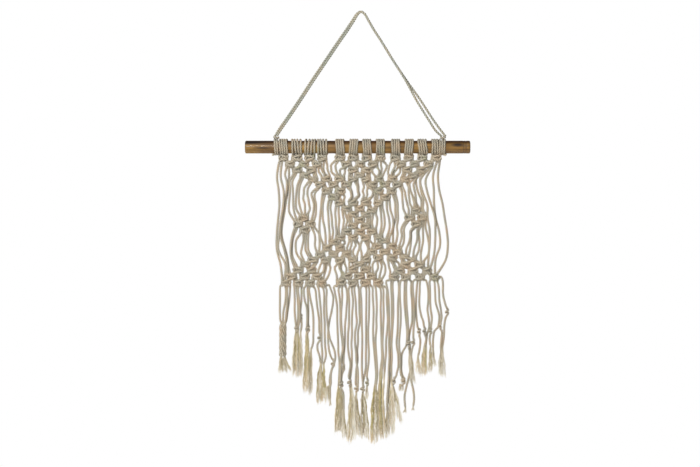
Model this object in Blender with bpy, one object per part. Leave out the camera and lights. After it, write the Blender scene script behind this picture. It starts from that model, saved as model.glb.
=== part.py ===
"""Macrame wall hanging on a wooden rod, in metres.

The origin is the nail that the hanger cord hangs from. X runs to the right, Z up, and the
front faces -Y. Four strands make one square knot, and each knot shares two of its strands
with the knots diagonally below it, so the knots stand on the crossings of a diamond grid:
column 0 to 22 across, row 0 to 22 down. Tables are in millimetres and MM turns them to metres.
"""
import math
import random
from collections import namedtuple

import bmesh
import bpy
from mathutils import Vector

MM = 0.001
CORD = 3.0 * MM
UNEVEN = 0.4 * MM
SEED = 11
GAP = 0.3 * MM

ROD_DIAMETER = 17.0 * MM
ROD_LENGTH = 300.0 * MM
ROD_CENTRE_X = -4.5 * MM
ROD_DROP = 182.1 * MM
ROD_END_BEVEL = 0.8 * MM
ROD_SIDES = 24
ROD_SHARP_ANGLE = math.radians(40.0)
ROD_CLEARANCE = 0.25 * MM

WRAP_SIDES = 8
WRAP_PITCH = 2.75 * MM
WRAP_THICKNESS = CORD
GROOVE_DEPTH = 0.9 * MM

COLUMNS = 23
LAST_ROW = 22
PANEL_ROW = 19
PANEL_COLUMNS = {"left": (0, 6), "middle": (8, 14), "right": (16, 22)}

KNOT_HALF_WIDTH = 7.4 * MM
KNOT_HALF_DEPTH = 3.6 * MM
NECK_HALF_WIDTH = 3.5 * MM
NECK_HALF_DEPTH = 2.2 * MM
KNOT_REACH = 6.6 * MM
TOP_REACH = 3.6 * MM
BAR_SIDES = 6
STRAND_DEPTH_OFFSET = 1.9 * MM
STRAND_SIDES = 4
FRINGE_SIDES = 3
NET_STRAND_HALF = 1.9 * MM
NET_STRAND_SIDES = 3
BAND_HALF_WIDTH = 2.7 * MM
BAND_HALF_DEPTH = 1.7 * MM
WIDE_APART = 4.0
SIDE_SHIFT = 2.6 * MM
JOINED_OFFSET = 0.6 * MM

ROOT_SPACING = 2.9 * MM
BUNCH_SPACING = 1.6 * MM
BUNCH_DEPTH_SHARE = 0.7
SHORT_LOCK = 9.0 * MM

STRIP_HALF_HEIGHT = 3.6 * MM
STRIP_NECK_HEIGHT = 2.4 * MM
STRIP_END = 5.5 * MM
STRIP_CLEARANCE = 0.45 * MM

UPPER_LEVEL = -386.0 * MM
LOWER_LEVEL = -410.0 * MM

COTTON = (0.50, 0.44, 0.35, 1.0)
TASSEL = (0.62, 0.53, 0.38, 1.0)
WOOD = (0.30, 0.18, 0.08, 1.0)

# Height of each knot row on the left, middle and right, and the columns that hold a knot.
KnotRow = namedtuple("KnotRow", "left middle right knots")
KNOT_ROWS = (
    KnotRow(-196.7, -196.7, -196.7, "o.o.o.o.o.o.o.o.o.o.o.o"),
    KnotRow(-204.7, -204.7, -204.7, ".o.o.o...o.o.o...o.o.o."),
    KnotRow(-212.7, -212.7, -212.7, "..o.o.....o.o.....o.o.."),
    KnotRow(-220.0, -220.0, -220.0, "...o.......o.......o..."),
    KnotRow(-225.3, -224.7, -225.3, "....o.o.o.o.o.o.o.o...."),
    KnotRow(-231.3, -231.3, -231.3, ".....o.o.o...o.o.o....."),
    KnotRow(-240.7, -240.7, -240.7, "......o.o.....o.o......"),
    KnotRow(-249.3, -249.3, -249.3, ".......o.......o......."),
    KnotRow(-256.7, -256.7, -256.7, "........o.o.o.o........"),
    KnotRow(-264.0, -264.0, -267.3, ".........o.o.o.....o..."),
    KnotRow(-271.3, -271.3, -276.0, "..........o.o.....o.o.."),
    KnotRow(-276.7, -279.3, -284.7, "...o.......o.......o..."),
    KnotRow(-284.7, -287.3, -287.3, "..o.o.....o.o.........."),
    KnotRow(-292.7, -295.3, -295.3, "...o.....o.o.o........."),
    KnotRow(-302.7, -302.7, -301.5, "........o.o.o.o........"),
    KnotRow(-308.7, -308.7, -306.5, ".......o.......o......."),
    KnotRow(-316.7, -316.7, -314.0, "......o.o.....o.o......"),
    KnotRow(-325.3, -325.3, -322.0, ".....o.o.o...o.o.o....."),
    KnotRow(-332.7, -332.7, -329.0, "....o.o.o.o.o.o.o.o...."),
    KnotRow(-338.0, -337.5, -331.0, "...o.......o.......o..."),
    KnotRow(-346.0, -345.3, -338.7, "..o.o.....o.o.....o.o.."),
    KnotRow(-354.7, -354.0, -347.3, ".o.o.o...o.o.o...o.o.o."),
    KnotRow(-363.3, -362.7, -355.3, "o.o.o.o.o.o.o.o.o.o.o.o"),
)

# Where some of the columns stand, left to right, at five rows. The rest lie between them.
SpreadRow = namedtuple("SpreadRow", "row c0 c4 c6 c8 c11 c14 c16 c18 c22")
SPREAD_COLUMNS = (0, 4, 6, 8, 11, 14, 16, 18, 22)
SPREAD = (
    SpreadRow(0, -103.3, -68.0, -51.6, -28.0, -1.0, 25.7, 46.0, 63.7, 100.0),
    SpreadRow(5, -106.7, -62.7, -45.3, -28.0, -2.0, 23.3, 40.7, 57.3, 97.3),
    SpreadRow(11, -105.3, -66.7, -45.3, -28.0, -2.0, 23.3, 40.7, 65.3, 102.7),
    SpreadRow(17, -103.0, -62.7, -45.3, -28.0, -2.0, 23.3, 40.7, 57.3, 98.7),
    SpreadRow(22, -100.0, -68.0, -52.7, -26.7, -2.0, 22.7, 44.0, 60.0, 97.3),
)

# A pair of strands that hangs free below the knot on one row, until the next knot it enters:
# where the pair is a quarter, half and three quarters of the way, and how far its two are apart.
PairRun = namedtuple("PairRun", "pair row quarter half three_quarters apart")
PAIR_RUNS = (
    PairRun(0, 0, -108.0, -108.0, -109.5, 6.5),
    PairRun(1, 1, -99.0, -103.5, -102.0, 3.0),
    PairRun(2, 2, -92.5, -92.5, -92.5, 5.5),
    PairRun(2, 12, -87.5, -92.5, -90.5, 4.0),
    PairRun(3, 3, -83.5, -85.0, -83.0, 3.5),
    PairRun(3, 13, -74.5, -75.5, -75.5, 4.5),
    PairRun(4, 4, -73.5, -74.0, -71.0, 6.0),
    PairRun(4, 13, -68.5, -67.5, -65.5, 3.5),
    PairRun(5, 5, -64.0, -61.5, -61.5, 4.0),
    PairRun(5, 12, -60.5, -59.0, -60.0, 3.5),
    PairRun(6, 6, -52.0, -54.0, -54.5, 3.5),
    PairRun(7, 7, -42.0, -41.5, -45.5, 4.5),
    PairRun(8, 8, -31.0, -30.5, -31.5, 4.0),
    PairRun(9, 9, -22.0, -20.5, -21.5, 5.0),
    PairRun(10, 5, -14.0, -12.5, -12.0, 3.0),
    PairRun(11, 4, -5.5, -4.0, -4.0, 3.0),
    PairRun(12, 4, 4.5, 3.5, 4.5, 3.0),
    PairRun(13, 5, 10.5, 9.5, 8.5, 3.0),
    PairRun(14, 9, 18.5, 18.5, 18.0, 6.5),
    PairRun(15, 8, 28.5, 29.0, 29.5, 4.5),
    PairRun(16, 7, 36.0, 39.0, 40.5, 4.5),
    PairRun(17, 6, 48.0, 48.5, 51.5, 3.5),
    PairRun(18, 5, 57.0, 58.5, 60.5, 5.5),
    PairRun(18, 10, 60.5, 61.5, 60.0, 8.5),
    PairRun(19, 4, 66.0, 68.0, 69.5, 5.5),
    PairRun(19, 11, 74.5, 76.0, 75.0, 3.5),
    PairRun(20, 3, 73.5, 76.5, 78.0, 4.0),
    PairRun(20, 11, 84.5, 86.5, 85.5, 6.0),
    PairRun(21, 2, 80.0, 82.5, 85.5, 4.5),
    PairRun(21, 10, 90.5, 91.5, 92.5, 3.0),
    PairRun(22, 1, 92.5, 98.0, 98.5, 5.0),
    PairRun(23, 0, 101.0, 105.5, 111.0, 9.5),
)

# Each fringe strand's place at the upper and the lower level, from strand 0 at the left.
FringeStrand = namedtuple("FringeStrand", "upper lower")
FRINGE_STRANDS = (
    FringeStrand(-108.0, -106.5),
    FringeStrand(-102.5, -103.5),
    FringeStrand(-98.5, -101.0),
    FringeStrand(-94.0, -98.0),
    FringeStrand(-88.5, -87.5),
    FringeStrand(-84.5, -84.5),
    FringeStrand(-81.5, -82.0),
    FringeStrand(-78.5, -79.0),
    FringeStrand(-75.0, -73.5),
    FringeStrand(-71.5, -71.5),
    FringeStrand(-68.5, -69.0),
    FringeStrand(-65.5, -63.5),
    FringeStrand(-59.5, -56.5),
    FringeStrand(-55.5, -53.0),
    FringeStrand(-51.0, -50.5),
    FringeStrand(-46.5, -47.0),
    FringeStrand(-37.5, -41.0),
    FringeStrand(-33.0, -31.0),
    FringeStrand(-28.5, -28.0),
    FringeStrand(-24.5, -26.0),
    FringeStrand(-18.5, -21.0),
    FringeStrand(-15.5, -16.5),
    FringeStrand(-11.5, -12.5),
    FringeStrand(-7.5, -6.0),
    FringeStrand(-3.5, -2.5),
    FringeStrand(0.5, 1.5),
    FringeStrand(6.0, 6.0),
    FringeStrand(10.0, 10.5),
    FringeStrand(16.5, 17.0),
    FringeStrand(20.5, 20.5),
    FringeStrand(26.0, 26.0),
    FringeStrand(29.5, 29.0),
    FringeStrand(34.5, 35.5),
    FringeStrand(38.0, 37.5),
    FringeStrand(40.5, 40.5),
    FringeStrand(43.5, 42.5),
    FringeStrand(49.5, 49.5),
    FringeStrand(58.0, 59.0),
    FringeStrand(62.0, 62.0),
    FringeStrand(67.5, 67.5),
    FringeStrand(70.5, 70.5),
    FringeStrand(73.5, 74.0),
    FringeStrand(78.5, 82.5),
    FringeStrand(90.0, 89.5),
    FringeStrand(93.5, 94.0),
    FringeStrand(99.5, 104.5),
    FringeStrand(103.5, 107.5),
    FringeStrand(110.5, 113.0),
)

# The strands gather into locks, each with a knot or tuck, a body and a frayed tip. A knot
# that is barely wider than its strands is where they only come together.
Lock = namedtuple("Lock", "first last knot_x knot_z knot_w body_x body_z body_w tip_x tip_z tip_w")
LOCKS = (
    Lock(0, 3, -103.0, -416.0, 9.0, -104.5, -455.0, 8.5, -102.5, -480.5, 16.0),
    Lock(4, 7, -85.0, -421.0, 9.5, -86.0, -452.0, 11.0, -85.5, -484.5, 13.0),
    Lock(8, 10, -72.0, -424.5, 8.0, -70.5, -455.0, 6.5, -71.0, -508.5, 10.0),
    Lock(11, 11, -63.5, -439.0, 3.8, -65.5, -466.0, 4.0, -65.5, -511.0, 5.5),
    Lock(12, 14, -54.5, -438.0, 8.0, -54.0, -472.5, 6.5, -52.0, -519.5, 14.0),
    Lock(15, 15, -47.0, -446.0, 3.8, -47.5, -482.0, 4.2, -44.5, -508.0, 7.0),
    Lock(16, 16, -38.0, -471.5, 6.0, -39.5, -490.0, 5.0, -38.5, -522.0, 7.5),
    Lock(17, 20, -27.3, -497.0, 9.0, -28.0, -526.0, 11.0, -30.0, -560.5, 13.0),
    Lock(21, 22, -15.3, -496.5, 7.5, -12.7, -526.0, 6.5, -14.0, -574.0, 17.0),
    Lock(23, 24, -6.3, -504.5, 7.0, -6.5, -530.0, 5.0, -1.0, -570.0, 10.0),
    Lock(25, 26, 2.2, -505.0, 7.0, 2.7, -532.5, 6.0, 7.0, -572.5, 13.0),
    Lock(27, 27, 8.2, -496.5, 5.5, 8.0, -508.0, 4.5, 7.7, -520.0, 5.0),
    Lock(28, 29, 20.0, -499.5, 5.5, 18.0, -539.0, 6.5, 18.7, -579.3, 8.0),
    Lock(30, 31, 27.5, -482.0, 6.0, 26.0, -519.3, 8.0, 27.5, -569.0, 10.5),
    Lock(32, 35, 37.5, -482.0, 7.0, 39.0, -519.3, 11.0, 40.0, -570.0, 13.5),
    Lock(36, 36, 50.7, -492.7, 9.0, 49.0, -515.0, 6.0, 53.0, -547.0, 9.0),
    Lock(37, 39, 63.0, -444.7, 9.5, 65.3, -468.7, 7.0, 66.0, -508.0, 9.0),
    Lock(40, 40, 70.0, -442.0, 6.0, 70.5, -458.0, 4.0, 70.0, -530.0, 4.5),
    Lock(41, 41, 78.7, -430.0, 6.0, 77.0, -452.7, 5.0, 76.7, -483.3, 8.0),
    Lock(42, 43, 87.0, -428.7, 7.0, 84.3, -452.7, 7.0, 83.5, -484.7, 11.0),
    Lock(44, 44, 92.7, -424.7, 5.5, 92.0, -452.7, 6.0, 91.3, -478.0, 8.0),
    Lock(45, 45, 103.3, -420.0, 5.5, 98.0, -434.0, 4.0, 96.7, -471.3, 6.0),
    Lock(46, 46, 106.4, -424.0, 5.0, 106.0, -446.0, 4.2, 104.5, -482.0, 6.0),
    Lock(47, 47, 113.3, -404.7, 6.0, 110.5, -432.7, 5.0, 110.0, -486.0, 8.5),
)

LockSection = namedtuple("LockSection", "place half_width half_depth")

# The hanger's two cords side by side, up the left leg, over the nail and down the right leg:
# "apart" is how far their centre lines stand from each other across the leg.
HangerPoint = namedtuple("HangerPoint", "x z apart")
HANGER = (
    HangerPoint(-113.2, -167.0, 2.6),
    HangerPoint(-107.0, -157.0, 2.6),
    HangerPoint(-99.3, -146.0, 2.6),
    HangerPoint(-81.3, -119.3, 2.6),
    HangerPoint(-64.0, -92.7, 2.6),
    HangerPoint(-46.0, -66.0, 2.6),
    HangerPoint(-28.0, -39.3, 2.6),
    HangerPoint(-18.7, -26.0, 2.6),
    HangerPoint(-10.0, -12.7, 2.2),
    HangerPoint(-4.6, -4.4, 1.6),
    HangerPoint(0.0, -1.6, 0.8),
    HangerPoint(4.6, -4.4, 0.0),
    HangerPoint(9.6, -12.7, 0.0),
    HangerPoint(17.3, -26.0, 0.0),
    HangerPoint(26.0, -39.3, 0.0),
    HangerPoint(42.4, -66.0, 0.0),
    HangerPoint(59.7, -92.7, 1.2),
    HangerPoint(76.3, -119.3, 4.6),
    HangerPoint(93.3, -146.0, 5.2),
    HangerPoint(101.8, -158.5, 5.8),
    HangerPoint(110.2, -167.8, 5.0),
)
HANGER_STEP = 9.0 * MM
CURVE_STEPS = 12
HANGER_LEAN = 0.68

# The groups of wraps that tie the hanger to the rod: place, number of turns, and the height
# of the half knot that closes them on top.
KNOT_FOOT = -1.6 * MM
KNOT_MIDDLE = 0.6 * MM
HangerWrap = namedtuple("HangerWrap", "name x turns knot_height knot_half_width")
HANGER_WRAPS = (
    HangerWrap("hanger_wrap_left", -113.2, 3, 2.4, 3.6),
    HangerWrap("hanger_wrap_right", 110.2, 3, 1.6, 4.2),
)


def clear_scene():
    for obj in list(bpy.data.objects):
        bpy.data.objects.remove(obj, do_unlink=True)


def make_material(name, colour, roughness):
    material = bpy.data.materials.new(name)
    material.use_nodes = True
    shader = material.node_tree.nodes["Principled BSDF"]
    shader.inputs["Base Color"].default_value = colour
    shader.inputs["Roughness"].default_value = roughness
    shader.inputs["Metallic"].default_value = 0.0
    return material


def make_object(name, rings_mesh, material):
    mesh = bpy.data.meshes.new(name)
    rings_mesh.to_mesh(mesh)
    rings_mesh.free()
    mesh.materials.append(material)
    obj = bpy.data.objects.new(name, mesh)
    bpy.context.scene.collection.objects.link(obj)
    return obj


def loft(rings, closed=False):
    """Skin a list of equal rings of points. An open loft is capped at both ends."""
    bm = bmesh.new()
    ring_verts = [[bm.verts.new(point) for point in ring] for ring in rings]
    count = len(rings[0])
    joins = list(zip(ring_verts, ring_verts[1:]))
    if closed:
        joins.append((ring_verts[-1], ring_verts[0]))
    for lower, upper in joins:
        for i in range(count):
            j = (i + 1) % count
            bm.faces.new((lower[i], lower[j], upper[j], upper[i]))
    if not closed:
        bm.faces.new(list(reversed(ring_verts[0])))
        bm.faces.new(ring_verts[-1])
    bmesh.ops.recalc_face_normals(bm, faces=bm.faces)
    return bm


def swept_rings(path, half_widths, half_depths, sides):
    """Rings across a path that runs near the XZ plane: width lies in it, depth along Y."""
    rings = []
    for index, point in enumerate(path):
        before = path[max(index - 1, 0)]
        after = path[min(index + 1, len(path) - 1)]
        tangent = (after - before)
        tangent.y = 0.0
        tangent.normalize()
        across = Vector((tangent.z, 0.0, -tangent.x))
        ring = []
        for side in range(sides):
            angle = 2.0 * math.pi * (side + 0.5 * (sides % 4 != 0)) / sides
            offset = across * (half_widths[index] * math.cos(angle))
            offset = offset + Vector((0.0, half_depths[index] * math.sin(angle), 0.0))
            ring.append(point + offset)
        rings.append(ring)
    return rings


def sweep(path, half_widths, half_depths, sides):
    return loft(swept_rings(path, half_widths, half_depths, sides))


def loosened(path, rng):
    """Shift a path a little, because no two knots or strands lie quite alike."""
    depth = rng.uniform(-UNEVEN, UNEVEN)
    return [point + Vector((rng.uniform(-0.5, 0.5) * UNEVEN, depth, rng.uniform(-0.5, 0.5) * UNEVEN))
            for point in path]


def between(low, high, share):
    return low + (high - low) * share


def zone(column, row):
    """Which of the three height columns a knot follows."""
    if column < 7:
        return "left"
    last_middle = 14 if row >= PANEL_ROW else 12
    return "middle" if column <= last_middle else "right"


def column_x(column, row):
    """Where a column stands on a row, read between the rows and columns of the spread table."""
    def along(spread_row):
        xs = spread_row[1:]
        for i in range(len(SPREAD_COLUMNS) - 1):
            low, high = SPREAD_COLUMNS[i], SPREAD_COLUMNS[i + 1]
            if column <= high:
                return between(xs[i], xs[i + 1], (column - low) / (high - low))
        return xs[-1]
    for upper, lower in zip(SPREAD, SPREAD[1:]):
        if row <= lower.row:
            share = (row - upper.row) / (lower.row - upper.row)
            return between(along(upper), along(lower), share) * MM
    return along(SPREAD[-1]) * MM


def knot_centre(column, row):
    height = getattr(KNOT_ROWS[row], zone(column, row)) * MM
    return Vector((column_x(column, row), 0.0, height))


def has_knot(column, row):
    if not (0 <= row <= LAST_ROW and 0 <= column < COLUMNS):
        return False
    return KNOT_ROWS[row].knots[column] == "o"


def net_knots():
    """Every knot of the net. The last row belongs to the strips that carry the fringe."""
    return [(column, row) for row in range(LAST_ROW) for column in range(COLUMNS)
            if has_knot(column, row)]


def knot_bars():
    """Gather the knots into the fewest straight diagonal bars, the longest bars first."""
    free = set(net_knots())
    bars = []
    while free:
        best = []
        for column, row in sorted(free):
            for slope in (1, -1):
                run = []
                place = (column, row)
                while place in free:
                    run.append(place)
                    place = (place[0] + slope, place[1] + 1)
                if len(run) > len(best):
                    best = run
        bars.append(best)
        free.difference_update(best)
    return bars


def bar_body(run, rng):
    """One ridged bar: a swelling at each knot and a neck between two knots.

    The swellings of neighbouring bars meet, and the necks leave a small hole between them. A
    knot of the first row sits right under the rod, so its bar starts closer to its centre.
    """
    centres = [knot_centre(column, row) for column, row in run]
    step = Vector((1.0, 0.0, -1.0))
    if len(run) > 1:
        step = centres[-1] - centres[0]
    along = step.normalized()
    path = [centres[0] - along * (TOP_REACH if run[0][1] == 0 else KNOT_REACH)]
    for index, centre in enumerate(centres):
        if index > 0:
            path.append((centres[index - 1] + centre) * 0.5)
        path.append(centre)
    path.append(centres[-1] + along * KNOT_REACH)
    widths = [NECK_HALF_WIDTH, KNOT_HALF_WIDTH] * len(centres) + [NECK_HALF_WIDTH]
    depths = [NECK_HALF_DEPTH, KNOT_HALF_DEPTH] * len(centres) + [NECK_HALF_DEPTH]
    return sweep(loosened(path, rng), widths, depths, BAR_SIDES)


def pair_knots(pair):
    """The knots that a pair of strands passes, top to bottom."""
    return [(column, row) for row in range(LAST_ROW + 1) for column in (pair - 1, pair)
            if has_knot(column, row)]


def pair_in_knot(pair, knot):
    """Where a pair of strands leaves or enters a knot: its left or its right half."""
    column, row = knot
    side = -1.0 if column == pair else 1.0
    return knot_centre(column, row) + Vector((side * SIDE_SHIFT, 0.0, 0.0))


def pair_bodies(pair, upper, lower, rng):
    """A pair of strands between two knots: one band, or two strands where they part."""
    rows = [run for run in PAIR_RUNS if run.pair == pair and run.row == upper[1]]
    start = pair_in_knot(pair, upper)
    end = pair_in_knot(pair, lower)
    if lower[1] == LAST_ROW:
        end.z = end.z + STRIP_HALF_HEIGHT + GAP
    if not rows:
        path = loosened([start, end], rng)
        return [sweep(path, [BAND_HALF_WIDTH] * 2, [BAND_HALF_DEPTH] * 2, STRAND_SIDES)]
    run = rows[0]
    middles = ((0.25, run.quarter), (0.5, run.half), (0.75, run.three_quarters))
    centres = [Vector((x * MM, 0.0, between(start.z, end.z, share))) for share, x in middles]
    if run.apart < WIDE_APART:
        path = loosened([start] + centres + [end], rng)
        count = len(path)
        return [sweep(path, [BAND_HALF_WIDTH] * count, [BAND_HALF_DEPTH] * count, STRAND_SIDES)]
    bodies = []
    for side in (-1.0, 1.0):
        parted = Vector((side * 0.5 * run.apart * MM, side * STRAND_DEPTH_OFFSET, 0.0))
        joined = Vector((side * JOINED_OFFSET, side * STRAND_DEPTH_OFFSET, 0.0))
        path = [start + joined] + [centre + parted for centre in centres] + [end + joined]
        halves = [NET_STRAND_HALF] * len(path)
        bodies.append(sweep(loosened(path, rng), halves, halves, NET_STRAND_SIDES))
    return bodies


def wrap_body(centre_x, turns):
    """A ring of cord turns round the rod, with a ridge for each turn."""
    clearance = (ROD_DIAMETER / 2.0 + GAP) / math.cos(math.pi / WRAP_SIDES)
    outer = clearance + WRAP_THICKNESS
    left = centre_x - turns * WRAP_PITCH / 2.0
    profile = [(left + turns * WRAP_PITCH, clearance), (left, clearance)]
    for turn in range(turns):
        profile.append((left + turn * WRAP_PITCH, outer - GROOVE_DEPTH))
        profile.append((left + (turn + 0.5) * WRAP_PITCH, outer))
    profile.append((left + turns * WRAP_PITCH, outer - GROOVE_DEPTH))
    rings = []
    for side in range(WRAP_SIDES):
        angle = 2.0 * math.pi * (side + 0.5) / WRAP_SIDES
        rings.append([Vector((x, radius * math.cos(angle), -ROD_DROP + radius * math.sin(angle)))
                      for x, radius in profile])
    return loft(rings, closed=True)


def rod_hole():
    """The clear space that the rod needs, from end to end."""
    radius = ROD_DIAMETER / 2.0 + ROD_CLEARANCE
    rings = []
    for x in (ROD_CENTRE_X - ROD_LENGTH / 2.0, ROD_CENTRE_X + ROD_LENGTH / 2.0):
        angles = [2.0 * math.pi * side / ROD_SIDES for side in range(ROD_SIDES)]
        rings.append([Vector((x, radius * math.cos(angle), -ROD_DROP + radius * math.sin(angle)))
                      for angle in angles])
    return loft(rings)


def fuse(name, bodies, material):
    """Join overlapping bodies into one solid with an exact Boolean union."""
    base = make_object(name, bodies[0], material)
    others = bpy.data.collections.new(name + "_parts")
    for index, body in enumerate(bodies[1:]):
        part = make_object("%s_part_%d" % (name, index), body, material)
        bpy.context.scene.collection.objects.unlink(part)
        others.objects.link(part)
    bpy.context.scene.collection.children.link(others)
    union = base.modifiers.new("Union", "BOOLEAN")
    union.operation = "UNION"
    union.operand_type = "COLLECTION"
    union.collection = others
    union.solver = "EXACT"
    apply_modifiers(base)
    for part in list(others.objects):
        bpy.data.objects.remove(part, do_unlink=True)
    bpy.data.collections.remove(others)
    return base


def cut_away(obj, body):
    """Cut a body out of an object with an exact Boolean difference."""
    cutter = make_object(obj.name + "_cutter", body, obj.data.materials[0])
    cut = obj.modifiers.new("Cut", "BOOLEAN")
    cut.operation = "DIFFERENCE"
    cut.object = cutter
    cut.solver = "EXACT"
    apply_modifiers(obj)
    bpy.data.objects.remove(cutter, do_unlink=True)


def apply_modifiers(obj):
    depsgraph = bpy.context.evaluated_depsgraph_get()
    result = bpy.data.meshes.new_from_object(obj.evaluated_get(depsgraph))
    obj.modifiers.clear()
    obj.data = result


def build_rod(material):
    bpy.ops.mesh.primitive_cylinder_add(
        vertices=ROD_SIDES, radius=ROD_DIAMETER / 2.0, depth=ROD_LENGTH,
        location=(ROD_CENTRE_X, 0.0, -ROD_DROP), rotation=(0.0, math.pi / 2.0, 0.0))
    rod = bpy.context.object
    rod.name = "rod"
    rod.data.name = "rod"
    rod.data.materials.append(material)
    bevel = rod.modifiers.new("End bevel", "BEVEL")
    bevel.width = ROD_END_BEVEL
    bevel.segments = 1
    bevel.limit_method = "ANGLE"
    bevel.angle_limit = ROD_SHARP_ANGLE
    rod.data.shade_smooth()
    rod.data.set_sharp_from_angle(angle=ROD_SHARP_ANGLE)
    return rod


def build_net(material):
    rng = random.Random(SEED)
    bodies = [bar_body(run, rng) for run in knot_bars()]
    for column in range(0, COLUMNS, 2):
        bodies.append(wrap_body(column_x(column, 0), 4))
    for pair in range(COLUMNS + 1):
        knots = pair_knots(pair)
        for upper, lower in zip(knots, knots[1:]):
            if lower[1] - upper[1] > 1 or lower[1] == LAST_ROW:
                bodies.extend(pair_bodies(pair, upper, lower, rng))
    net = fuse("macrame_net", bodies, material)
    cut_away(net, rod_hole())
    for panel in PANEL_COLUMNS:
        cut_away(net, strip_body(panel, STRIP_CLEARANCE))
    return net


def strip_body(panel, grow=0.0):
    """The last row of knots of a panel, as one ridged strip, or the same strip grown all over."""
    knot_height = STRIP_HALF_HEIGHT + grow
    neck_height = STRIP_NECK_HEIGHT + grow
    first, last = PANEL_COLUMNS[panel]
    centres = [knot_centre(column, LAST_ROW) for column in range(first, last + 1, 2)]
    end = Vector((STRIP_END + grow, 0.0, 0.0))
    path = [centres[0] - end]
    heights = [neck_height]
    for index, centre in enumerate(centres):
        path.append(centre)
        heights.append(knot_height)
        if index + 1 < len(centres):
            path.append((centre + centres[index + 1]) * 0.5)
            heights.append(neck_height)
    path.append(centres[-1] + end)
    heights.append(neck_height)
    depths = [KNOT_HALF_DEPTH + grow] * len(path)
    return sweep(path, heights, depths, BAR_SIDES)


def root_x(strand):
    """Where a fringe strand leaves its knot in the last row."""
    column = 2 * (strand // 4)
    return column_x(column, LAST_ROW) + (strand % 4 - 1.5) * ROOT_SPACING


def strand_body(strand, lock):
    """One fringe strand from its root in the strip down to the knot of its lock."""
    column = 2 * (strand // 4)
    row = FRINGE_STRANDS[strand]
    depth = (strand % 2 - 0.5) * 2.0 * STRAND_DEPTH_OFFSET
    knot = Vector((lock.knot_x * MM, 0.0, lock.knot_z * MM))
    share = strand - 0.5 * (lock.first + lock.last)
    path = [Vector((root_x(strand), depth, knot_centre(column, LAST_ROW).z)),
            Vector((row.upper * MM, depth, UPPER_LEVEL))]
    if knot.z < LOWER_LEVEL - SHORT_LOCK:
        path.append(Vector((row.lower * MM, depth, LOWER_LEVEL)))
    path.append(Vector((knot.x + share * BUNCH_SPACING, depth * BUNCH_DEPTH_SHARE,
                        knot.z - 1.0 * MM)))
    halves = [NET_STRAND_HALF] * len(path)
    return sweep(path, halves, halves, FRINGE_SIDES)


def lock_body(lock):
    """The knot, the body and the frayed tip of one lock."""
    depth = 0.0
    if lock.first == lock.last:
        depth = (lock.first % 2 - 0.5) * 2.0 * STRAND_DEPTH_OFFSET
    knot = Vector((lock.knot_x * MM, depth * BUNCH_DEPTH_SHARE, lock.knot_z * MM))
    body = Vector((lock.body_x * MM, depth, lock.body_z * MM))
    tip = Vector((lock.tip_x * MM, depth, lock.tip_z * MM))
    half = lock.knot_w * MM / 2.0
    top = knot + Vector((0.0, 0.0, half * 0.9))
    body_half = lock.body_w * MM / 2.0
    tip_half = lock.tip_w * MM / 2.0
    sections = (
        LockSection(top, half * 0.6, 2.0 * MM),
        LockSection(knot, half, max(half * 0.8, 2.8 * MM)),
        LockSection(between(knot, body, 0.25), body_half * 0.84, 2.3 * MM),
        LockSection(body, body_half, 2.6 * MM),
        LockSection(between(body, tip, 0.6), between(body_half, tip_half, 0.6), 2.6 * MM),
        LockSection(tip, tip_half, 1.6 * MM),
    )
    return sweep([section.place for section in sections],
                 [section.half_width for section in sections],
                 [section.half_depth for section in sections], STRAND_SIDES)


def build_fringe(panel, material):
    first, last = PANEL_COLUMNS[panel]
    strands = range(2 * first, 2 * last + 4)
    bodies = [strip_body(panel)]
    for lock in LOCKS:
        if lock.first in strands:
            bodies.append(lock_body(lock))
            for strand in range(lock.first, lock.last + 1):
                bodies.append(strand_body(strand, lock))
    return fuse("fringe_" + panel, bodies, material)


def smooth_path(points, step):
    """Read points at even steps from a smooth curve through the given points."""
    ends = [points[0] * 2.0 - points[1]] + list(points) + [points[-1] * 2.0 - points[-2]]
    dense = []
    for before, start, end, after in zip(ends, ends[1:], ends[2:], ends[3:]):
        for i in range(CURVE_STEPS):
            t = i / CURVE_STEPS
            dense.append(0.5 * (start * 2.0 + (end - before) * t
                                + (before * 2.0 - start * 5.0 + end * 4.0 - after) * t * t
                                + (start * 3.0 - before - end * 3.0 + after) * t * t * t))
    dense.append(points[-1])
    lengths = [0.0]
    for start, end in zip(dense, dense[1:]):
        lengths.append(lengths[-1] + (end - start).length)
    count = max(2, round(lengths[-1] / step))
    result = []
    index = 0
    for i in range(count + 1):
        target = lengths[-1] * i / count
        while index < len(lengths) - 2 and lengths[index + 1] < target:
            index += 1
        share = (target - lengths[index]) / (lengths[index + 1] - lengths[index])
        result.append(between(dense[index], dense[index + 1], min(share, 1.0)))
    return result


def hanger_route(member):
    """The route of one hanger cord: the inner, front one is 0 and the outer, back one is 1."""
    side = -1.0 if member == 0 else 1.0
    touching = CORD + GAP
    points = []
    for row in HANGER:
        apart = row.apart * MM
        depth = math.sqrt(max(touching ** 2 - apart ** 2, 0.0)) / 2.0
        leg = math.copysign(1.0, row.x) if row.x else 0.0
        lean = 0.0 if row in (HANGER[0], HANGER[-1]) else HANGER_LEAN
        across = Vector((leg, 0.0, lean)).normalized()
        points.append(Vector((row.x * MM, side * depth, row.z * MM)) + across * side * apart / 2.0)
    return smooth_path(points, HANGER_STEP)


def build_hanger_cord(name, member, material):
    points = hanger_route(member)
    curve = bpy.data.curves.new(name, "CURVE")
    curve.dimensions = "3D"
    curve.bevel_depth = CORD / 2.0
    curve.bevel_resolution = 2
    curve.use_fill_caps = True
    spline = curve.splines.new("POLY")
    spline.points.add(len(points) - 1)
    for place, point in zip(spline.points, points):
        place.co = (point.x, point.y, point.z, 1.0)
    curve.materials.append(material)
    cord = bpy.data.objects.new(name, curve)
    bpy.context.scene.collection.objects.link(cord)
    return cord


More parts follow.
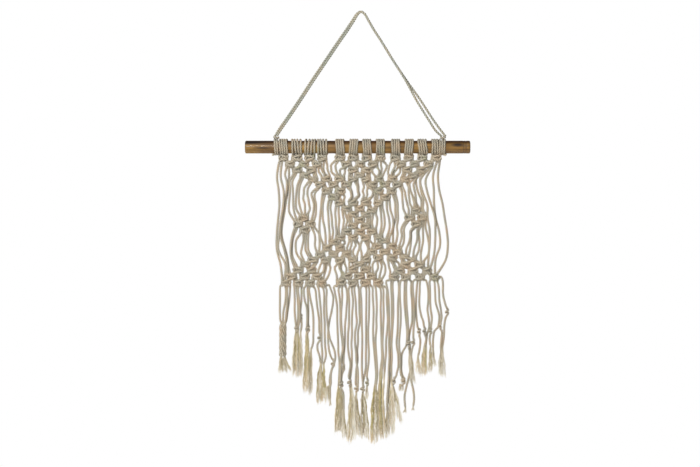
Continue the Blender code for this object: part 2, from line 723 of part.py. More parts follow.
def build_hanger_wrap(wrap, material):
    """The turns that tie the hanger to the rod, with the half knot on top of them."""
    bodies = [wrap_body(wrap.x * MM, wrap.turns)]
    top = -ROD_DROP + ROD_DIAMETER / 2.0 + WRAP_THICKNESS
    half = wrap.knot_half_width * MM
    heights = (KNOT_FOOT, KNOT_MIDDLE, wrap.knot_height * MM)
    path = [Vector((wrap.x * MM, 0.0, top + height)) for height in heights]
    half_depths = [2.6 * MM, 3.0 * MM, 2.4 * MM]
    bodies.append(sweep(path, [half * 0.8, half, half * 0.7], half_depths, BAR_SIDES))
    return fuse(wrap.name, bodies, material)


def build():
    clear_scene()
    cotton = make_material("cotton_cord", COTTON, 0.85)
    tassel = make_material("cotton_fringe", TASSEL, 0.9)
    wood = make_material("rod_wood", WOOD, 0.4)
    build_rod(wood)
    build_net(cotton)
    for panel in PANEL_COLUMNS:
        build_fringe(panel, tassel)
    for wrap in HANGER_WRAPS:
        build_hanger_wrap(wrap, cotton)
    build_hanger_cord("hanger_cord_front", 0, cotton)
    build_hanger_cord("hanger_cord_back", 1, cotton)


build()
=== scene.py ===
import math
import random

import bpy
import numpy as np
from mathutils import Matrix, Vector


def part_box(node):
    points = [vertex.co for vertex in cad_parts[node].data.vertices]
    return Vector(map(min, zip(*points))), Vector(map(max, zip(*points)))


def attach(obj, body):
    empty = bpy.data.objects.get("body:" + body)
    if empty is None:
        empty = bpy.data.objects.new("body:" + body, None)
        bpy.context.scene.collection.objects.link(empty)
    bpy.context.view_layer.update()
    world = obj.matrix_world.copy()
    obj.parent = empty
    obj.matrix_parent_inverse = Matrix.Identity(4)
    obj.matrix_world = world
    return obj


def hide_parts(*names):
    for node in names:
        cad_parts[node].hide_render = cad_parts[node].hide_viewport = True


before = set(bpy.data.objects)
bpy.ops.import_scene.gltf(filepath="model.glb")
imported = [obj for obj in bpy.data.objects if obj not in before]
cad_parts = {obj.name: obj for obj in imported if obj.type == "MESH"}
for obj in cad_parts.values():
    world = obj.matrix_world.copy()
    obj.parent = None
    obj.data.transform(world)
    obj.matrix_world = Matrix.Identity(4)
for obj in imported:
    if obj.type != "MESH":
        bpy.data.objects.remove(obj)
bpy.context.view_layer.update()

mm = 0.001
fullTurn = 2.0 * math.pi
rodLow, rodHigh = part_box("rod")
rodRadius = (rodHigh.z - rodLow.z) / 2.0 / mm
rodHeight = (rodHigh.z + rodLow.z) / 2.0 / mm

# Tables are in mm from the nail: x to the right, z up, and y is negative towards the viewer. Only the
# fringe has a chart of its own.

# Three-ply cotton cord. "twist" is how far it runs in one full turn of its plies.
cordLook = {
    "thickness": 3.0,
    "hanging girth": 1.04,
    "twist": 10.5,
    "plies": 3,
    "ply groove": 0.16,
    "sides": 9,
    "ring step": 1.1,
    "end girth": 0.3,
    "colour": "#c6bba6",
    "grey colour": "#bbb6a8",
    "warm colour": "#ccb9a0",
    "green colour": "#bcb89c",
    # painted shade, multiplied into the cord down in its ply grooves
    "painted groove shade": "#968c78",
    "hanger tone": "#eef9ff",
}


# An sRGB hex colour as the linear colour that a shader socket takes.
def hexColour(text):
    parts = [int(text[i:i + 2], 16) / 255.0 for i in (1, 3, 5)]
    linear = [p / 12.92 if p <= 0.04045 else ((p + 0.055) / 1.055) ** 2.4 for p in parts]
    return (*linear, 1.0)


# Sets each input of a shader node to a value, or links it from a socket.
def setInputs(tree, node, inputs):
    for name, value in inputs.items():
        if isinstance(value, bpy.types.NodeSocket):
            tree.links.new(value, node.inputs[name])
        else:
            node.inputs[name].default_value = value


def addNode(tree, kind, settings=None, inputs=None):
    node = tree.nodes.new(kind)
    for name, value in (settings or {}).items():
        setattr(node, name, value)
    setInputs(tree, node, inputs or {})
    return node


def maths(tree, operation, *values, kind="Math", output="Value"):
    node = addNode(tree, "ShaderNode" + kind, {"operation": operation}, dict(enumerate(values)))
    return node.outputs[output]


def mixColours(tree, factor, first, second, blend="MULTIPLY"):
    node = addNode(tree, "ShaderNodeMix", {"data_type": "RGBA", "blend_type": blend},
                   {"Factor": factor, 6: first, 7: second})
    return node.outputs[2]


def colourRamp(tree, factor, stops):
    node = addNode(tree, "ShaderNodeValToRGB", inputs={"Fac": factor})
    while len(node.color_ramp.elements) < len(stops):
        node.color_ramp.elements.new(0.5)
    for element, (position, colour) in zip(node.color_ramp.elements, stops):
        element.position = position
        element.color = hexColour(colour)
    return node.outputs["Color"]


def newMaterial(name):
    material = bpy.data.materials.new(name)
    material.use_nodes = True
    return material, material.node_tree, material.node_tree.nodes["Principled BSDF"]


# Even points along a centripetal curve, which goes through the given ones and makes no loops between
# them. Any value after x, y and z is carried along too.
def smoothLine(points, step):
    p = np.array(points, dtype=float)
    p = np.vstack([2 * p[0] - p[1], p, 2 * p[-1] - p[-2]])
    root = np.sqrt(np.maximum(np.linalg.norm(np.diff(p[:, :3], axis=0), axis=1), 1e-6))[:, None]
    dense = []
    for i in range(1, len(p) - 2):
        before, here, after = root[i - 1], root[i], root[i + 1]
        startPull = ((p[i] - p[i - 1]) / before - (p[i + 1] - p[i - 1]) / (before + here)
                     + (p[i + 1] - p[i]) / here) * here
        endPull = ((p[i + 1] - p[i]) / here - (p[i + 2] - p[i]) / (here + after)
                   + (p[i + 2] - p[i + 1]) / after) * here
        count = max(3, int(here[0] ** 2 / 0.5))
        t = np.linspace(0.0, 1.0, count, endpoint=False)[:, None]
        dense.append((2 * t ** 3 - 3 * t ** 2 + 1) * p[i] + (t ** 3 - 2 * t ** 2 + t) * startPull
                     + (-2 * t ** 3 + 3 * t ** 2) * p[i + 1] + (t ** 3 - t ** 2) * endPull)
    dense.append(p[-2:-1])
    dense = np.vstack(dense)
    steps = np.linalg.norm(np.diff(dense[:, :3], axis=0), axis=1)
    along = np.concatenate([[0.0], np.cumsum(steps)])
    count = max(3, int(round(along[-1] / step)) + 1)
    even = np.linspace(0.0, along[-1], count)
    return np.stack([np.interp(even, along, values) for values in dense.T], axis=1)


# A side and an upright direction at each point, carried along without turning.
def carriedFrames(line):
    tangent = np.gradient(line, axis=0)
    tangent /= np.linalg.norm(tangent, axis=1)[:, None]
    side = np.empty_like(line)
    first = np.cross(tangent[0], (0.0, 1.0, 0.2))
    side[0] = first / np.linalg.norm(first)
    for i in range(1, len(line)):
        turned = side[i - 1] - tangent[i] * np.dot(side[i - 1], tangent[i])
        side[i] = turned / np.linalg.norm(turned)
    return side, np.cross(tangent, side)


def tubeFaces(rings, sides, start=0):
    ring = np.arange(rings - 1)[:, None] * sides
    side = np.arange(sides)[None, :]
    after = (side + 1) % sides
    quads = np.stack([ring + side, ring + after, ring + sides + after, ring + sides + side], axis=-1)
    return quads.reshape(-1, 4) + start


# A mesh in metres from points in mm, with named values on its points.
def meshObject(name, verts, faces, material, floats=None, uvs=None):
    mesh = bpy.data.meshes.new(name)
    mesh.from_pydata((np.asarray(verts) * mm).tolist(), [], faces)
    for key, values in (floats or {}).items():
        attribute = mesh.attributes.new(key, "FLOAT", "POINT")
        attribute.data.foreach_set("value", np.asarray(values, dtype=np.float32))
    if uvs is not None:
        layer = mesh.uv_layers.new(name="along")
        flat = np.zeros((len(mesh.loops), 2), dtype=np.float32)
        flat[:len(uvs)] = uvs
        layer.data.foreach_set("uv", flat.ravel())
    mesh.shade_smooth()
    mesh.materials.append(material)
    obj = bpy.data.objects.new(name, mesh)
    bpy.context.scene.collection.objects.link(obj)
    return obj


# A twisted three-ply cord along the points, each (x, y, z, girth). The mesh turns with its plies.
def ropeObject(name, points, material, phase=0.0, endTaper=0.0):
    sides = cordLook["sides"]
    line = smoothLine(points, cordLook["ring step"])
    line, girth = line[:, :3], line[:, 3]
    side, up = carriedFrames(line)
    count = len(line)
    steps = np.linalg.norm(np.diff(line, axis=0), axis=1)
    distance = np.concatenate([[0.0], np.cumsum(steps)])
    if endTaper > 0.0:
        toEnd = np.minimum(distance, distance[-1] - distance)
        thin = cordLook["end girth"]
        girth = girth * (thin + (1.0 - thin) * np.clip(toEnd / endTaper, 0.0, 1.0))
    share = np.arange(sides) / sides
    angle = phase + fullTurn * (distance[:, None] / cordLook["twist"] + share[None, :])
    plies = 1.0 + cordLook["ply groove"] * np.cos(fullTurn * cordLook["plies"] * share)
    radius = cordLook["thickness"] / 2.0 * girth[:, None] * plies[None, :]
    verts = (line[:, None, :] + side[:, None, :] * (radius * np.cos(angle))[:, :, None]
             + up[:, None, :] * (radius * np.sin(angle))[:, :, None]).reshape(-1, 3)
    faces = tubeFaces(count, sides).tolist()
    faces.append(list(range(sides))[::-1])
    faces.append([(count - 1) * sides + j for j in range(sides)])
    near = np.repeat(distance[:-1], sides) / cordLook["twist"]
    far = np.repeat(distance[1:], sides) / cordLook["twist"]
    left = np.tile(share, count - 1)
    right = left + 1.0 / sides
    uvs = np.stack([near, left, near, right, far, right, far, left], axis=1).reshape(-1, 2)
    return meshObject(name, verts, faces, material, uvs=uvs), line


# Undyed cotton: ply grooves a little darker with painted shade, fine lengthwise fibres and faint grey
# patches.
def cottonMaterial(name, strength, tone):
    material, tree, shader = newMaterial(name)
    uv = addNode(tree, "ShaderNodeUVMap", {"uv_map": "along"})
    parts = addNode(tree, "ShaderNodeSeparateXYZ", inputs={"Vector": uv.outputs["UV"]})
    around = maths(tree, "MULTIPLY", parts.outputs["Y"], fullTurn * cordLook["plies"])
    groove = addNode(tree, "ShaderNodeMapRange", inputs={
        "Value": maths(tree, "COSINE", around), "From Min": -1.0, "From Max": 0.6})
    place = addNode(tree, "ShaderNodeTexCoord")
    patches = addNode(tree, "ShaderNodeTexNoise", inputs={
        "Vector": place.outputs["Object"], "Scale": 60.0, "Detail": 3.0, "Roughness": 0.6})
    # fibres run along each ply, so they are many times longer than they are wide
    stretch = addNode(tree, "ShaderNodeMapping", inputs={
        "Vector": uv.outputs["UV"], "Scale": (5.0, 26.0, 1.0)})
    fibres = addNode(tree, "ShaderNodeTexNoise", inputs={
        "Vector": stretch.outputs["Vector"], "Scale": 3.0, "Detail": 4.0, "Roughness": 0.65})
    tint = colourRamp(tree, patches.outputs["Fac"], (
        (0.3, cordLook["green colour"]), (0.4, cordLook["grey colour"]), (0.52, cordLook["colour"]),
        (0.66, cordLook["warm colour"])))
    toned = mixColours(tree, 1.0, tint, hexColour(tone))
    # painted shade: the colour darkens down in each ply groove
    dark = colourRamp(tree, groove.outputs["Result"], ((0.0, cordLook["painted groove shade"]), (1.0, "#ffffff")))
    bump = addNode(tree, "ShaderNodeBump", inputs={
        "Height": fibres.outputs["Fac"], "Strength": strength, "Distance": 0.3 * mm})
    setInputs(tree, shader, {"Base Color": mixColours(tree, 1.0, toned, dark), "Roughness": 0.92,
                             "Normal": bump.outputs["Normal"]})
    return material


yarnLook = {
    "pale colour": "#e9e4d3",
    "warm colour": "#dcc5a0",
    "yellow colour": "#c9c088",
    "dark colour": "#a8996f",
}


# Loose cotton yarns: each in a shade of its own, from grey-cream to yellow and peach.
def yarnMaterial():
    material, tree, shader = newMaterial("looseCottonYarn")
    tone = addNode(tree, "ShaderNodeAttribute", {"attribute_name": "tone"})
    warm = addNode(tree, "ShaderNodeAttribute", {"attribute_name": "warm"})
    cool = colourRamp(tree, tone.outputs["Fac"], (
        (0.0, yarnLook["dark colour"]), (0.4, cordLook["colour"]), (0.9, yarnLook["pale colour"])))
    aged = colourRamp(tree, tone.outputs["Fac"], (
        (0.0, yarnLook["dark colour"]), (0.3, yarnLook["yellow colour"]),
        (0.6, yarnLook["warm colour"]), (0.9, yarnLook["pale colour"])))
    mixed = mixColours(tree, warm.outputs["Fac"], cool, aged, "MIX")
    setInputs(tree, shader, {"Base Color": mixed, "Roughness": 0.95})
    return material


rodLook = {
    "colour": "#866629",
    "dark grain": "#3c2706",
    "light grain": "#ab8440",
    "patch colour": "#a07a35",
    "streak colour": "#2b1a0b",
    # painted shade along the top of the rod, partly the wood's own darker grain
    "painted top shade": "#7d5b34",
    "stripe strength": 0.9,
    "stripe starts": 4.0,
    "stripe full": 8.5,
    "stripe wander": 3.0,
    "roughness": 0.6,
    "varnish": 0.04,
    "ring places": (136.5, 139.5),
    "streaks": (((128.5, -7.5, -179.6), 0.3, 1.9), ((-146.0, -5.5, -176.0), 0.14, 2.0),
                ((-130.0, -7.8, -183.5), 0.1, 1.0)),
}


# Varnished round wood: grain drawn out along the rod, a dark stripe on top that is mostly painted
# shade, a few short dark streaks, and a darker line at each turned ring.
def woodMaterial():
    material, tree, shader = newMaterial("varnishedWood")
    place = addNode(tree, "ShaderNodeTexCoord")
    stretch = addNode(tree, "ShaderNodeMapping", inputs={
        "Vector": place.outputs["Object"], "Scale": (7.0, 150.0, 150.0)})
    grain = addNode(tree, "ShaderNodeTexNoise", inputs={
        "Vector": stretch.outputs["Vector"], "Scale": 2.2, "Detail": 6.0, "Roughness": 0.6,
        "Distortion": 0.4})
    broad = addNode(tree, "ShaderNodeTexNoise", inputs={
        "Vector": place.outputs["Object"], "Scale": 22.0, "Detail": 2.0})
    base = colourRamp(tree, grain.outputs["Fac"], (
        (0.3, rodLook["dark grain"]), (0.5, rodLook["colour"]), (0.72, rodLook["light grain"])))
    patches = colourRamp(tree, broad.outputs["Fac"], ((0.35, rodLook["patch colour"]), (0.65, "#ffffff")))
    colour = mixColours(tree, 0.6, base, patches)
    # each streak has its place, how much it is drawn out along the rod, and half its height
    for streakPlace, drawnOut, half in rodLook["streaks"]:
        away = maths(tree, "SUBTRACT", place.outputs["Object"], Vector(streakPlace) * mm,
                     kind="VectorMath", output="Vector")
        drawn = maths(tree, "MULTIPLY", away, (drawnOut, 1.0, 1.0), kind="VectorMath", output="Vector")
        edge = addNode(tree, "ShaderNodeMapRange", inputs={
            "Value": maths(tree, "LENGTH", drawn, kind="VectorMath"),
            "From Min": half * 0.6 * mm, "From Max": half * 1.7 * mm})
        colour = mixColours(tree, edge.outputs["Result"], hexColour(rodLook["streak colour"]), colour,
                            "MIX")
    parts = addNode(tree, "ShaderNodeSeparateXYZ", inputs={"Vector": place.outputs["Object"]})
    # a dark stripe along the top, mostly painted shade and partly the wood's own darker grain, wanders with
    # the grain
    wander = maths(tree, "MULTIPLY_ADD", grain.outputs["Fac"], rodLook["stripe wander"] * mm,
                   parts.outputs["Z"])
    stripe = addNode(tree, "ShaderNodeMapRange", {"interpolation_type": "SMOOTHSTEP"}, {
        "Value": wander, "From Min": (rodHeight + rodLook["stripe starts"]) * mm,
        "From Max": (rodHeight + rodLook["stripe full"]) * mm,
        "To Min": 0.0, "To Max": rodLook["stripe strength"]})
    # painted shade: the top of the rod is darkened
    colour = mixColours(tree, stripe.outputs["Result"], colour, hexColour(rodLook["painted top shade"]))
    for ringX in rodLook["ring places"]:
        away = maths(tree, "SUBTRACT", parts.outputs["X"], ringX * mm)
        line = addNode(tree, "ShaderNodeMapRange", inputs={
            "Value": maths(tree, "ABSOLUTE", away), "From Min": 0.25 * mm, "From Max": 0.8 * mm,
            "To Min": 0.55, "To Max": 1.0})
        colour = addNode(tree, "ShaderNodeVectorMath", {"operation": "SCALE"}, {
            0: colour, "Scale": line.outputs["Result"]}).outputs["Vector"]
    bump = addNode(tree, "ShaderNodeBump", inputs={
        "Height": grain.outputs["Fac"], "Strength": 0.25, "Distance": 0.4 * mm})
    setInputs(tree, shader, {
        "Base Color": colour, "Roughness": rodLook["roughness"], "Coat Weight": rodLook["varnish"],
        "Normal": bump.outputs["Normal"]})
    return material


cottonCord = cottonMaterial("cottonCord", 0.5, "#ffffff")
hangerCotton = cottonMaterial("hangerCotton", 0.5, cordLook["hanger tone"])
looseYarn = yarnMaterial()
varnishedWood = woodMaterial()
print("materials done")


rodShape = {"sides": 64, "edge": 1.8, "edge segments": 4, "turned ring": 0.25, "ring width": 1.2}


def makeRod():
    bpy.ops.object.select_all(action="DESELECT")
    length = rodHigh.x - rodLow.x
    bpy.ops.mesh.primitive_cylinder_add(
        vertices=rodShape["sides"], radius=rodRadius * mm, depth=length,
        location=((rodHigh.x + rodLow.x) / 2.0, 0.0, rodHeight * mm), rotation=(0.0, math.pi / 2.0, 0.0))
    rod = bpy.context.object
    rod.name = "woodenRod"
    bpy.ops.object.transform_apply(location=True, rotation=True, scale=True)
    bevel = rod.modifiers.new("Edge", "BEVEL")
    bevel.width = rodShape["edge"] * mm
    bevel.segments = rodShape["edge segments"]
    bevel.limit_method = "ANGLE"
    bpy.ops.object.modifier_apply(modifier="Edge")
    # cut it into short lengths where the lathe left two shallow rings near the right end
    bpy.ops.object.mode_set(mode="EDIT")
    for ringX in rodLook["ring places"]:
        for shift in (-rodShape["ring width"], 0.0, rodShape["ring width"]):
            bpy.ops.mesh.select_all(action="SELECT")
            bpy.ops.mesh.bisect(plane_co=((ringX + shift) * mm, 0.0, 0.0), plane_no=(1.0, 0.0, 0.0))
    bpy.ops.object.mode_set(mode="OBJECT")
    for vertex in rod.data.vertices:
        if any(abs(vertex.co.x - ringX * mm) < 0.1 * mm for ringX in rodLook["ring places"]):
            centre = Vector((vertex.co.x, 0.0, rodHeight * mm))
            outward = vertex.co - centre
            vertex.co = centre + outward * (1.0 - rodShape["turned ring"] / rodRadius)
    bpy.ops.object.shade_smooth_by_angle(angle=math.radians(35.0))
    rod.data.materials.append(varnishedWood)
    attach(rod, "root")
    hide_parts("rod")


makeRod()
print("rod done")


# Heights of each row on the left, in the middle and on the right, and its columns with a knot.
knotRows = (
    (-196.7, -196.7, -196.7, "o.o.o.o.o.o.o.o.o.o.o.o"),
    (-204.7, -204.7, -204.7, ".o.o.o...o.o.o...o.o.o."),
    (-212.7, -212.7, -212.7, "..o.o.....o.o.....o.o.."),
    (-220.0, -220.0, -220.0, "...o.......o.......o..."),
    (-225.3, -224.7, -225.3, "....o.o.o.o.o.o.o.o...."),
    (-231.3, -231.3, -231.3, ".....o.o.o...o.o.o....."),
    (-240.7, -240.7, -240.7, "......o.o.....o.o......"),
    (-249.3, -249.3, -249.3, ".......o.......o......."),
    (-256.7, -256.7, -256.7, "........o.o.o.o........"),
    (-264.0, -264.0, -267.3, ".........o.o.o.....o..."),
    (-271.3, -271.3, -276.0, "..........o.o.....o.o.."),
    (-276.7, -279.3, -284.7, "...o.......o.......o..."),
    (-284.7, -287.3, -287.3, "..o.o.....o.o.........."),
    (-292.7, -295.3, -295.3, "...o.....o.o.o........."),
    (-302.7, -302.7, -301.5, "........o.o.o.o........"),
    (-308.7, -308.7, -306.5, ".......o.......o......."),
    (-316.7, -316.7, -314.0, "......o.o.....o.o......"),
    (-325.3, -325.3, -322.0, ".....o.o.o...o.o.o....."),
    (-332.7, -332.7, -329.0, "....o.o.o.o.o.o.o.o...."),
    (-338.0, -337.5, -331.0, "...o.......o.......o..."),
    (-346.0, -345.3, -338.7, "..o.o.....o.o.....o.o.."),
    (-354.7, -354.0, -347.3, ".o.o.o...o.o.o...o.o.o."),
    (-363.3, -362.7, -355.3, "o.o.o.o.o.o.o.o.o.o.o.o"),
)
lastRow = len(knotRows) - 1
columnCount = len(knotRows[0][3])
cordCount = columnCount + 1

# From this row down, the heights of the middle reach two columns further right.
panelRow = 19

# Where nine of the columns stand on five of the rows. The rest lie between them.
spreadColumns = (0, 4, 6, 8, 11, 14, 16, 18, 22)
spread = {
    0: (-103.3, -68.0, -51.6, -28.0, -1.0, 25.7, 46.0, 63.7, 100.0),
    5: (-106.7, -62.7, -45.3, -28.0, -2.0, 23.3, 40.7, 57.3, 97.3),
    11: (-105.3, -66.7, -45.3, -28.0, -2.0, 23.3, 40.7, 65.3, 102.7),
    17: (-103.0, -62.7, -45.3, -28.0, -2.0, 23.3, 40.7, 57.3, 98.7),
    22: (-100.0, -68.0, -52.7, -26.7, -2.0, 22.7, 44.0, 60.0, 97.3),
}


def columnX(column, row):
    rows = sorted(spread)
    places = [np.interp(column, spreadColumns, spread[r]) for r in rows]
    return float(np.interp(row, rows, places))


# The knots of the two small rings: how far each is moved across and up, and its height against the
# room that its neighbours leave.
ringPull = {
    (3, 11): (0.0, -0.5, 1.2),
    (2, 12): (1.7, 0.0, 1.2),
    (4, 12): (-1.7, 0.0, 1.2),
    (3, 13): (0.0, 0.5, 1.2),
    (19, 9): (0.4, 0.0, 0.98),
    (18, 10): (1.2, 0.0, 1.0),
    (20, 10): (-1.2, 0.0, 1.0),
    (19, 11): (-0.6, 0.4, 1.0),
}
notPulled = (0.0, 0.0, 1.0)


def knotPlace(column, row):
    lastMiddle = 14 if row >= panelRow else 12
    zone = 0 if column < 7 else 1 if column <= lastMiddle else 2
    across, up = ringPull.get((column, row), notPulled)[:2]
    return np.array((columnX(column, row) + across, 0.0, knotRows[row][zone] + up))


# The knots that a pair of strands passes, from the top: it is their right or their left half.
def pairKnots(pair):
    return [(column, row) for row in range(lastRow + 1) for column in (pair - 1, pair)
            if 0 <= column < columnCount and knotRows[row][3][column] == "o"]


# Where a cord passes, and how thick it is there against its full thickness.
def spot(x, y, z, girth=cordLook["hanging girth"]):
    return np.array((x, y, z, girth))


# Both workers cross the two fillers twice: the left one in front and the right one behind.
squareKnot = {
    "left worker": ((-4.5, -0.4, 4.2), (-3.6, -2.3, 3.5), (-0.2, -3.5, 2.7), (3.3, -2.6, 1.4),
                    (5.2, -0.4, 0.1), (3.4, -2.6, -1.2), (-0.2, -3.5, -2.4), (-3.5, -2.4, -3.2),
                    (-4.5, -0.2, -4.2)),
    "left filler": ((-1.5, 0.1, 3.8), (-1.4, -1.0, 0.3), (-1.5, 0.1, -3.8)),
    "right filler": ((1.5, -0.1, 3.8), (1.4, -1.0, 0.3), (1.5, -0.1, -3.8)),
    "right worker": ((4.5, -0.9, 3.8), (5.0, -0.6, 2.6), (3.2, 2.4, 2.0), (0.0, 3.3, 2.3),
                     (-3.7, 2.0, 1.5), (-5.3, -0.8, 1.2), (-5.3, -0.9, -0.9), (-3.7, 2.0, -1.4),
                     (0.0, 3.3, -2.2), (3.3, 2.4, -1.8), (5.1, -0.7, -2.6), (4.5, -0.5, -3.9)),
}
knotLook = {
    "full height": 8.6,
    "tight below": 11.0,
    "width": 1.08,
    "lean in a ring": 4.8,
    "lean": 12.0,
    "size change": 0.08,
    "girth": 1.2,
    "seed": 4,
}
knotRandom = random.Random(knotLook["seed"])
knotTurn = {}
for row in range(lastRow + 1):
    for column in range(columnCount):
        lean = knotLook["lean in a ring"] if (column, row) in ringPull else knotLook["lean"]
        knotTurn[(column, row)] = (math.radians(knotRandom.uniform(-1, 1) * lean),
                                   1.0 + knotRandom.uniform(-1, 1) * knotLook["size change"],
                                   knotRandom.choice((-1.0, 1.0)))

# Each knot is as high as the nearest knots above and below leave room for.
roomAbove = {}
roomBelow = {}
for pair in range(cordCount):
    passed = pairKnots(pair)
    for upper, lower in zip(passed, passed[1:]):
        gap = knotPlace(*upper)[2] - knotPlace(*lower)[2]
        if gap < knotLook["tight below"]:
            roomBelow[upper] = min(gap, roomBelow.get(upper, knotLook["full height"]))
            roomAbove[lower] = min(gap, roomAbove.get(lower, knotLook["full height"]))


def knotPass(strand, column, row):
    turn, size, hand = knotTurn[(column, row)]
    isLeft = strand // 2 == column
    isWorker = strand % 2 == (0 if isLeft else 1)
    # a knot that was started from its other side is the mirror image
    name = ("left " if isLeft == (hand > 0.0) else "right ") + ("worker" if isWorker else "filler")
    centre = knotPlace(column, row)
    full = knotLook["full height"]
    taller = ringPull.get((column, row), notPulled)[2]
    above = taller * roomAbove.get((column, row), full) / full
    below = taller * roomBelow.get((column, row), full) / full
    points = []
    for x, y, z in squareKnot[name]:
        x *= hand * knotLook["width"]
        z *= above if z > 0.0 else below
        points.append(spot(centre[0] + size * (x * math.cos(turn) - z * math.sin(turn)), size * y,
                           centre[2] + x * math.sin(turn) + z * math.cos(turn), knotLook["girth"]))
    return points


# For a pair and the row it leaves: its middle at evenly spaced places down the way, and then how far
# apart its two strands are at each of them.
freeRuns = {
    (0, 0): (-109.5, -106.4, -106.3, -108.9, -110.7, -111.1, -104.1, 4.9, 6.5, 5.1, 3.7, 3.2, 2.1, 6.4),
    (1, 1): (-98.7, -97.9, -98.3, -99.2, -101.3, -102.5, -103.8, -105.3, -106.4, -106.9, -105.6,
             -102.9, -100.5, -98.6, -97.6, 5.3, 2.5, 1.3, 1.6, 2.7, 2.3, 2.3, 1.9, 1.6, 1.5, 1.6, 1.3,
             1.6, 1.5, 1.6),
    (2, 2): (-93.3, -92.8, -92.9, -93.2, -92.2, 3.7, 3.7, 4.7, 5.6, 6.5),
    (2, 12): (-91.3, -92.9, -92.3, 1.7, 1.6, 1.8),
    (3, 3): (-83.1, -84.3, -84.9, -84.8, -83.6, 3.3, 3.3, 3.6, 4.5, 5.6),
    (3, 13): (-81.6, -82.9, -82.9, 9.6, 8.7, 5.9),
    (4, 4): (-73.2, -73.9, -73.6, -72.1, -71.5, 5.1, 4.8, 6.7, 5.7, 6.3),
    (4, 13): (-72.3, -72.4, -71.9, 3.2, 3.5, 3.7),
    (5, 5): (-63.7, -63.3, -61.5, -61.7, -62.4, 4.4, 2.9, 2.7, 3.1, 3.7),
    (5, 12): (-59.2, -58.3, -58.4, 6.1, 5.6, 6.4),
    (6, 1): (-54.3, -53.9, -51.9, 4.4, 5.0, 5.3),
    (6, 6): (-51.7, -52.5, -52.9, -52.0, -50.9, 2.1, 2.5, 4.1, 6.9, 7.1),
    (6, 18): (-51.9, -52.5, -53.3, 5.7, 6.4, 7.2),
    (7, 0): (-47.5, -47.5, -46.3, 5.1, 5.3, 5.7),
    (7, 7): (-42.7, -41.8, -41.1, -40.6, -39.7, 3.6, 4.1, 4.5, 4.4, 4.8),
    (7, 18): (-43.7, -44.7, -46.3, 5.7, 6.0, 6.0),
    (8, 0): (-36.9, -36.7, -36.0, 6.0, 5.9, 6.5),
    (8, 8): (-32.1, -31.3, -31.6, 4.5, 4.7, 3.5),
    (8, 18): (-32.0, -30.4, -29.1, 6.0, 7.4, 6.9),
    (9, 1): (-24.7, -24.8, -24.7, 6.3, 6.7, 6.0),
    (9, 6): (-24.9, -24.9, -24.9, 5.6, 6.3, 5.6),
    (9, 9): (-22.0, -20.5, -21.5, 4.0, 4.6, 4.0),
    (9, 14): (-24.7, -24.7, -24.7, 6.0, 6.5, 6.0),
    (9, 18): (-23.5, -23.1, -22.8, 5.7, 7.0, 7.0),
    (10, 5): (-13.3, -12.6, -12.0, 1.5, 1.5, 1.5),
    (10, 14): (-14.7, -15.5, -16.6, 4.0, 4.8, 4.4),
    (10, 18): (-13.4, -13.4, -13.4, 4.5, 5.0, 4.5),
    (11, 4): (-4.1, -4.0, -2.9, 1.5, 1.0, 1.5),
    (11, 14): (-4.7, -6.0, -7.5, 4.8, 7.0, 6.4),
    (12, 4): (6.4, 5.1, 6.0, 4.8, 5.5, 4.5),
    (12, 14): (3.7, 4.3, 4.3, 8.5, 9.9, 7.3),
    (13, 5): (15.9, 16.0, 14.7, 0.8, 0.8, 1.0),
    (13, 14): (12.5, 13.0, 13.0, 4.5, 5.3, 5.0),
    (13, 18): (8.9, 8.9, 8.9, 4.2, 4.5, 4.2),
    (14, 1): (19.2, 19.7, 20.1, 9.0, 9.0, 7.7),
    (14, 9): (18.5, 18.0, 18.0, 6.0, 6.7, 6.0),
    (14, 14): (20.9, 20.9, 20.9, 4.5, 5.0, 4.5),
    (14, 18): (18.9, 18.9, 18.7, 6.5, 7.4, 6.7),
    (15, 0): (30.4, 30.5, 29.0, 7.6, 5.7, 4.0),
    (15, 8): (28.5, 29.3, 29.3, 4.0, 4.2, 4.0),
    (15, 18): (29.7, 29.6, 28.4, 4.4, 5.7, 6.1),
    (16, 0): (41.6, 40.3, 38.7, 7.4, 6.7, 5.3),
    (16, 7): (37.0, 40.0, 40.2, 4.5, 5.3, 4.5),
    (16, 18): (39.6, 40.5, 41.9, 5.6, 6.4, 6.4),
    (17, 1): (49.6, 48.2, 47.2, 5.2, 7.6, 7.0),
    (17, 6): (47.1, 47.3, 47.8, 45.7, 45.7, 3.2, 3.2, 3.3, 4.5, 6.0),
    (17, 18): (47.0, 47.8, 48.3, 5.0, 6.0, 5.0),
    (18, 5): (56.5, 57.1, 57.9, 58.9, 60.0, 3.9, 4.3, 5.2, 6.0, 6.9),
    (18, 10): (57.0, 55.3, 55.9, 55.4, 54.0, 3.3, 3.5, 3.1, 3.6, 4.5),
    (19, 4): (64.3, 64.9, 66.1, 67.2, 68.1, 1.6, 2.9, 4.5, 5.1, 5.9),
    (19, 11): (66.3, 66.3, 65.6, 64.4, 62.9, 1.4, 1.4, 2.1, 3.5, 4.9),
    (20, 3): (67.3, 67.9, 69.7, 71.6, 72.9, 5.7, 5.7, 5.1, 2.9, 1.2),
    (20, 11): (75.7, 76.2, 76.1, 74.9, 73.6, 2.0, 2.5, 3.6, 5.3, 6.4),
    (21, 2): (76.4, 76.3, 77.2, 79.0, 81.2, 81.9, 81.4, 5.1, 5.3, 4.8, 4.1, 2.9, 2.3, 2.3),
    (21, 10): (84.3, 85.5, 86.3, 86.0, 84.8, 3.5, 5.6, 7.2, 9.5, 10.0),
    (22, 1): (82.7, 85.5, 90.9, 93.5, 95.2, 95.1, 93.7, 6.9, 6.1, 5.3, 9.7, 7.7, 7.2, 6.9),
    (23, 0): (99.4, 100.7, 103.1, 105.5, 109.3, 110.6, 106.3, 6.5, 7.2, 11.2, 12.1, 10.4, 10.5, 13.6),
}
runLook = {"depth of odd pairs": 1.7, "depth of even pairs": -0.9, "wander": 0.5, "half knot": 5.0,
           "seed": 9}
runRandom = random.Random(runLook["seed"])


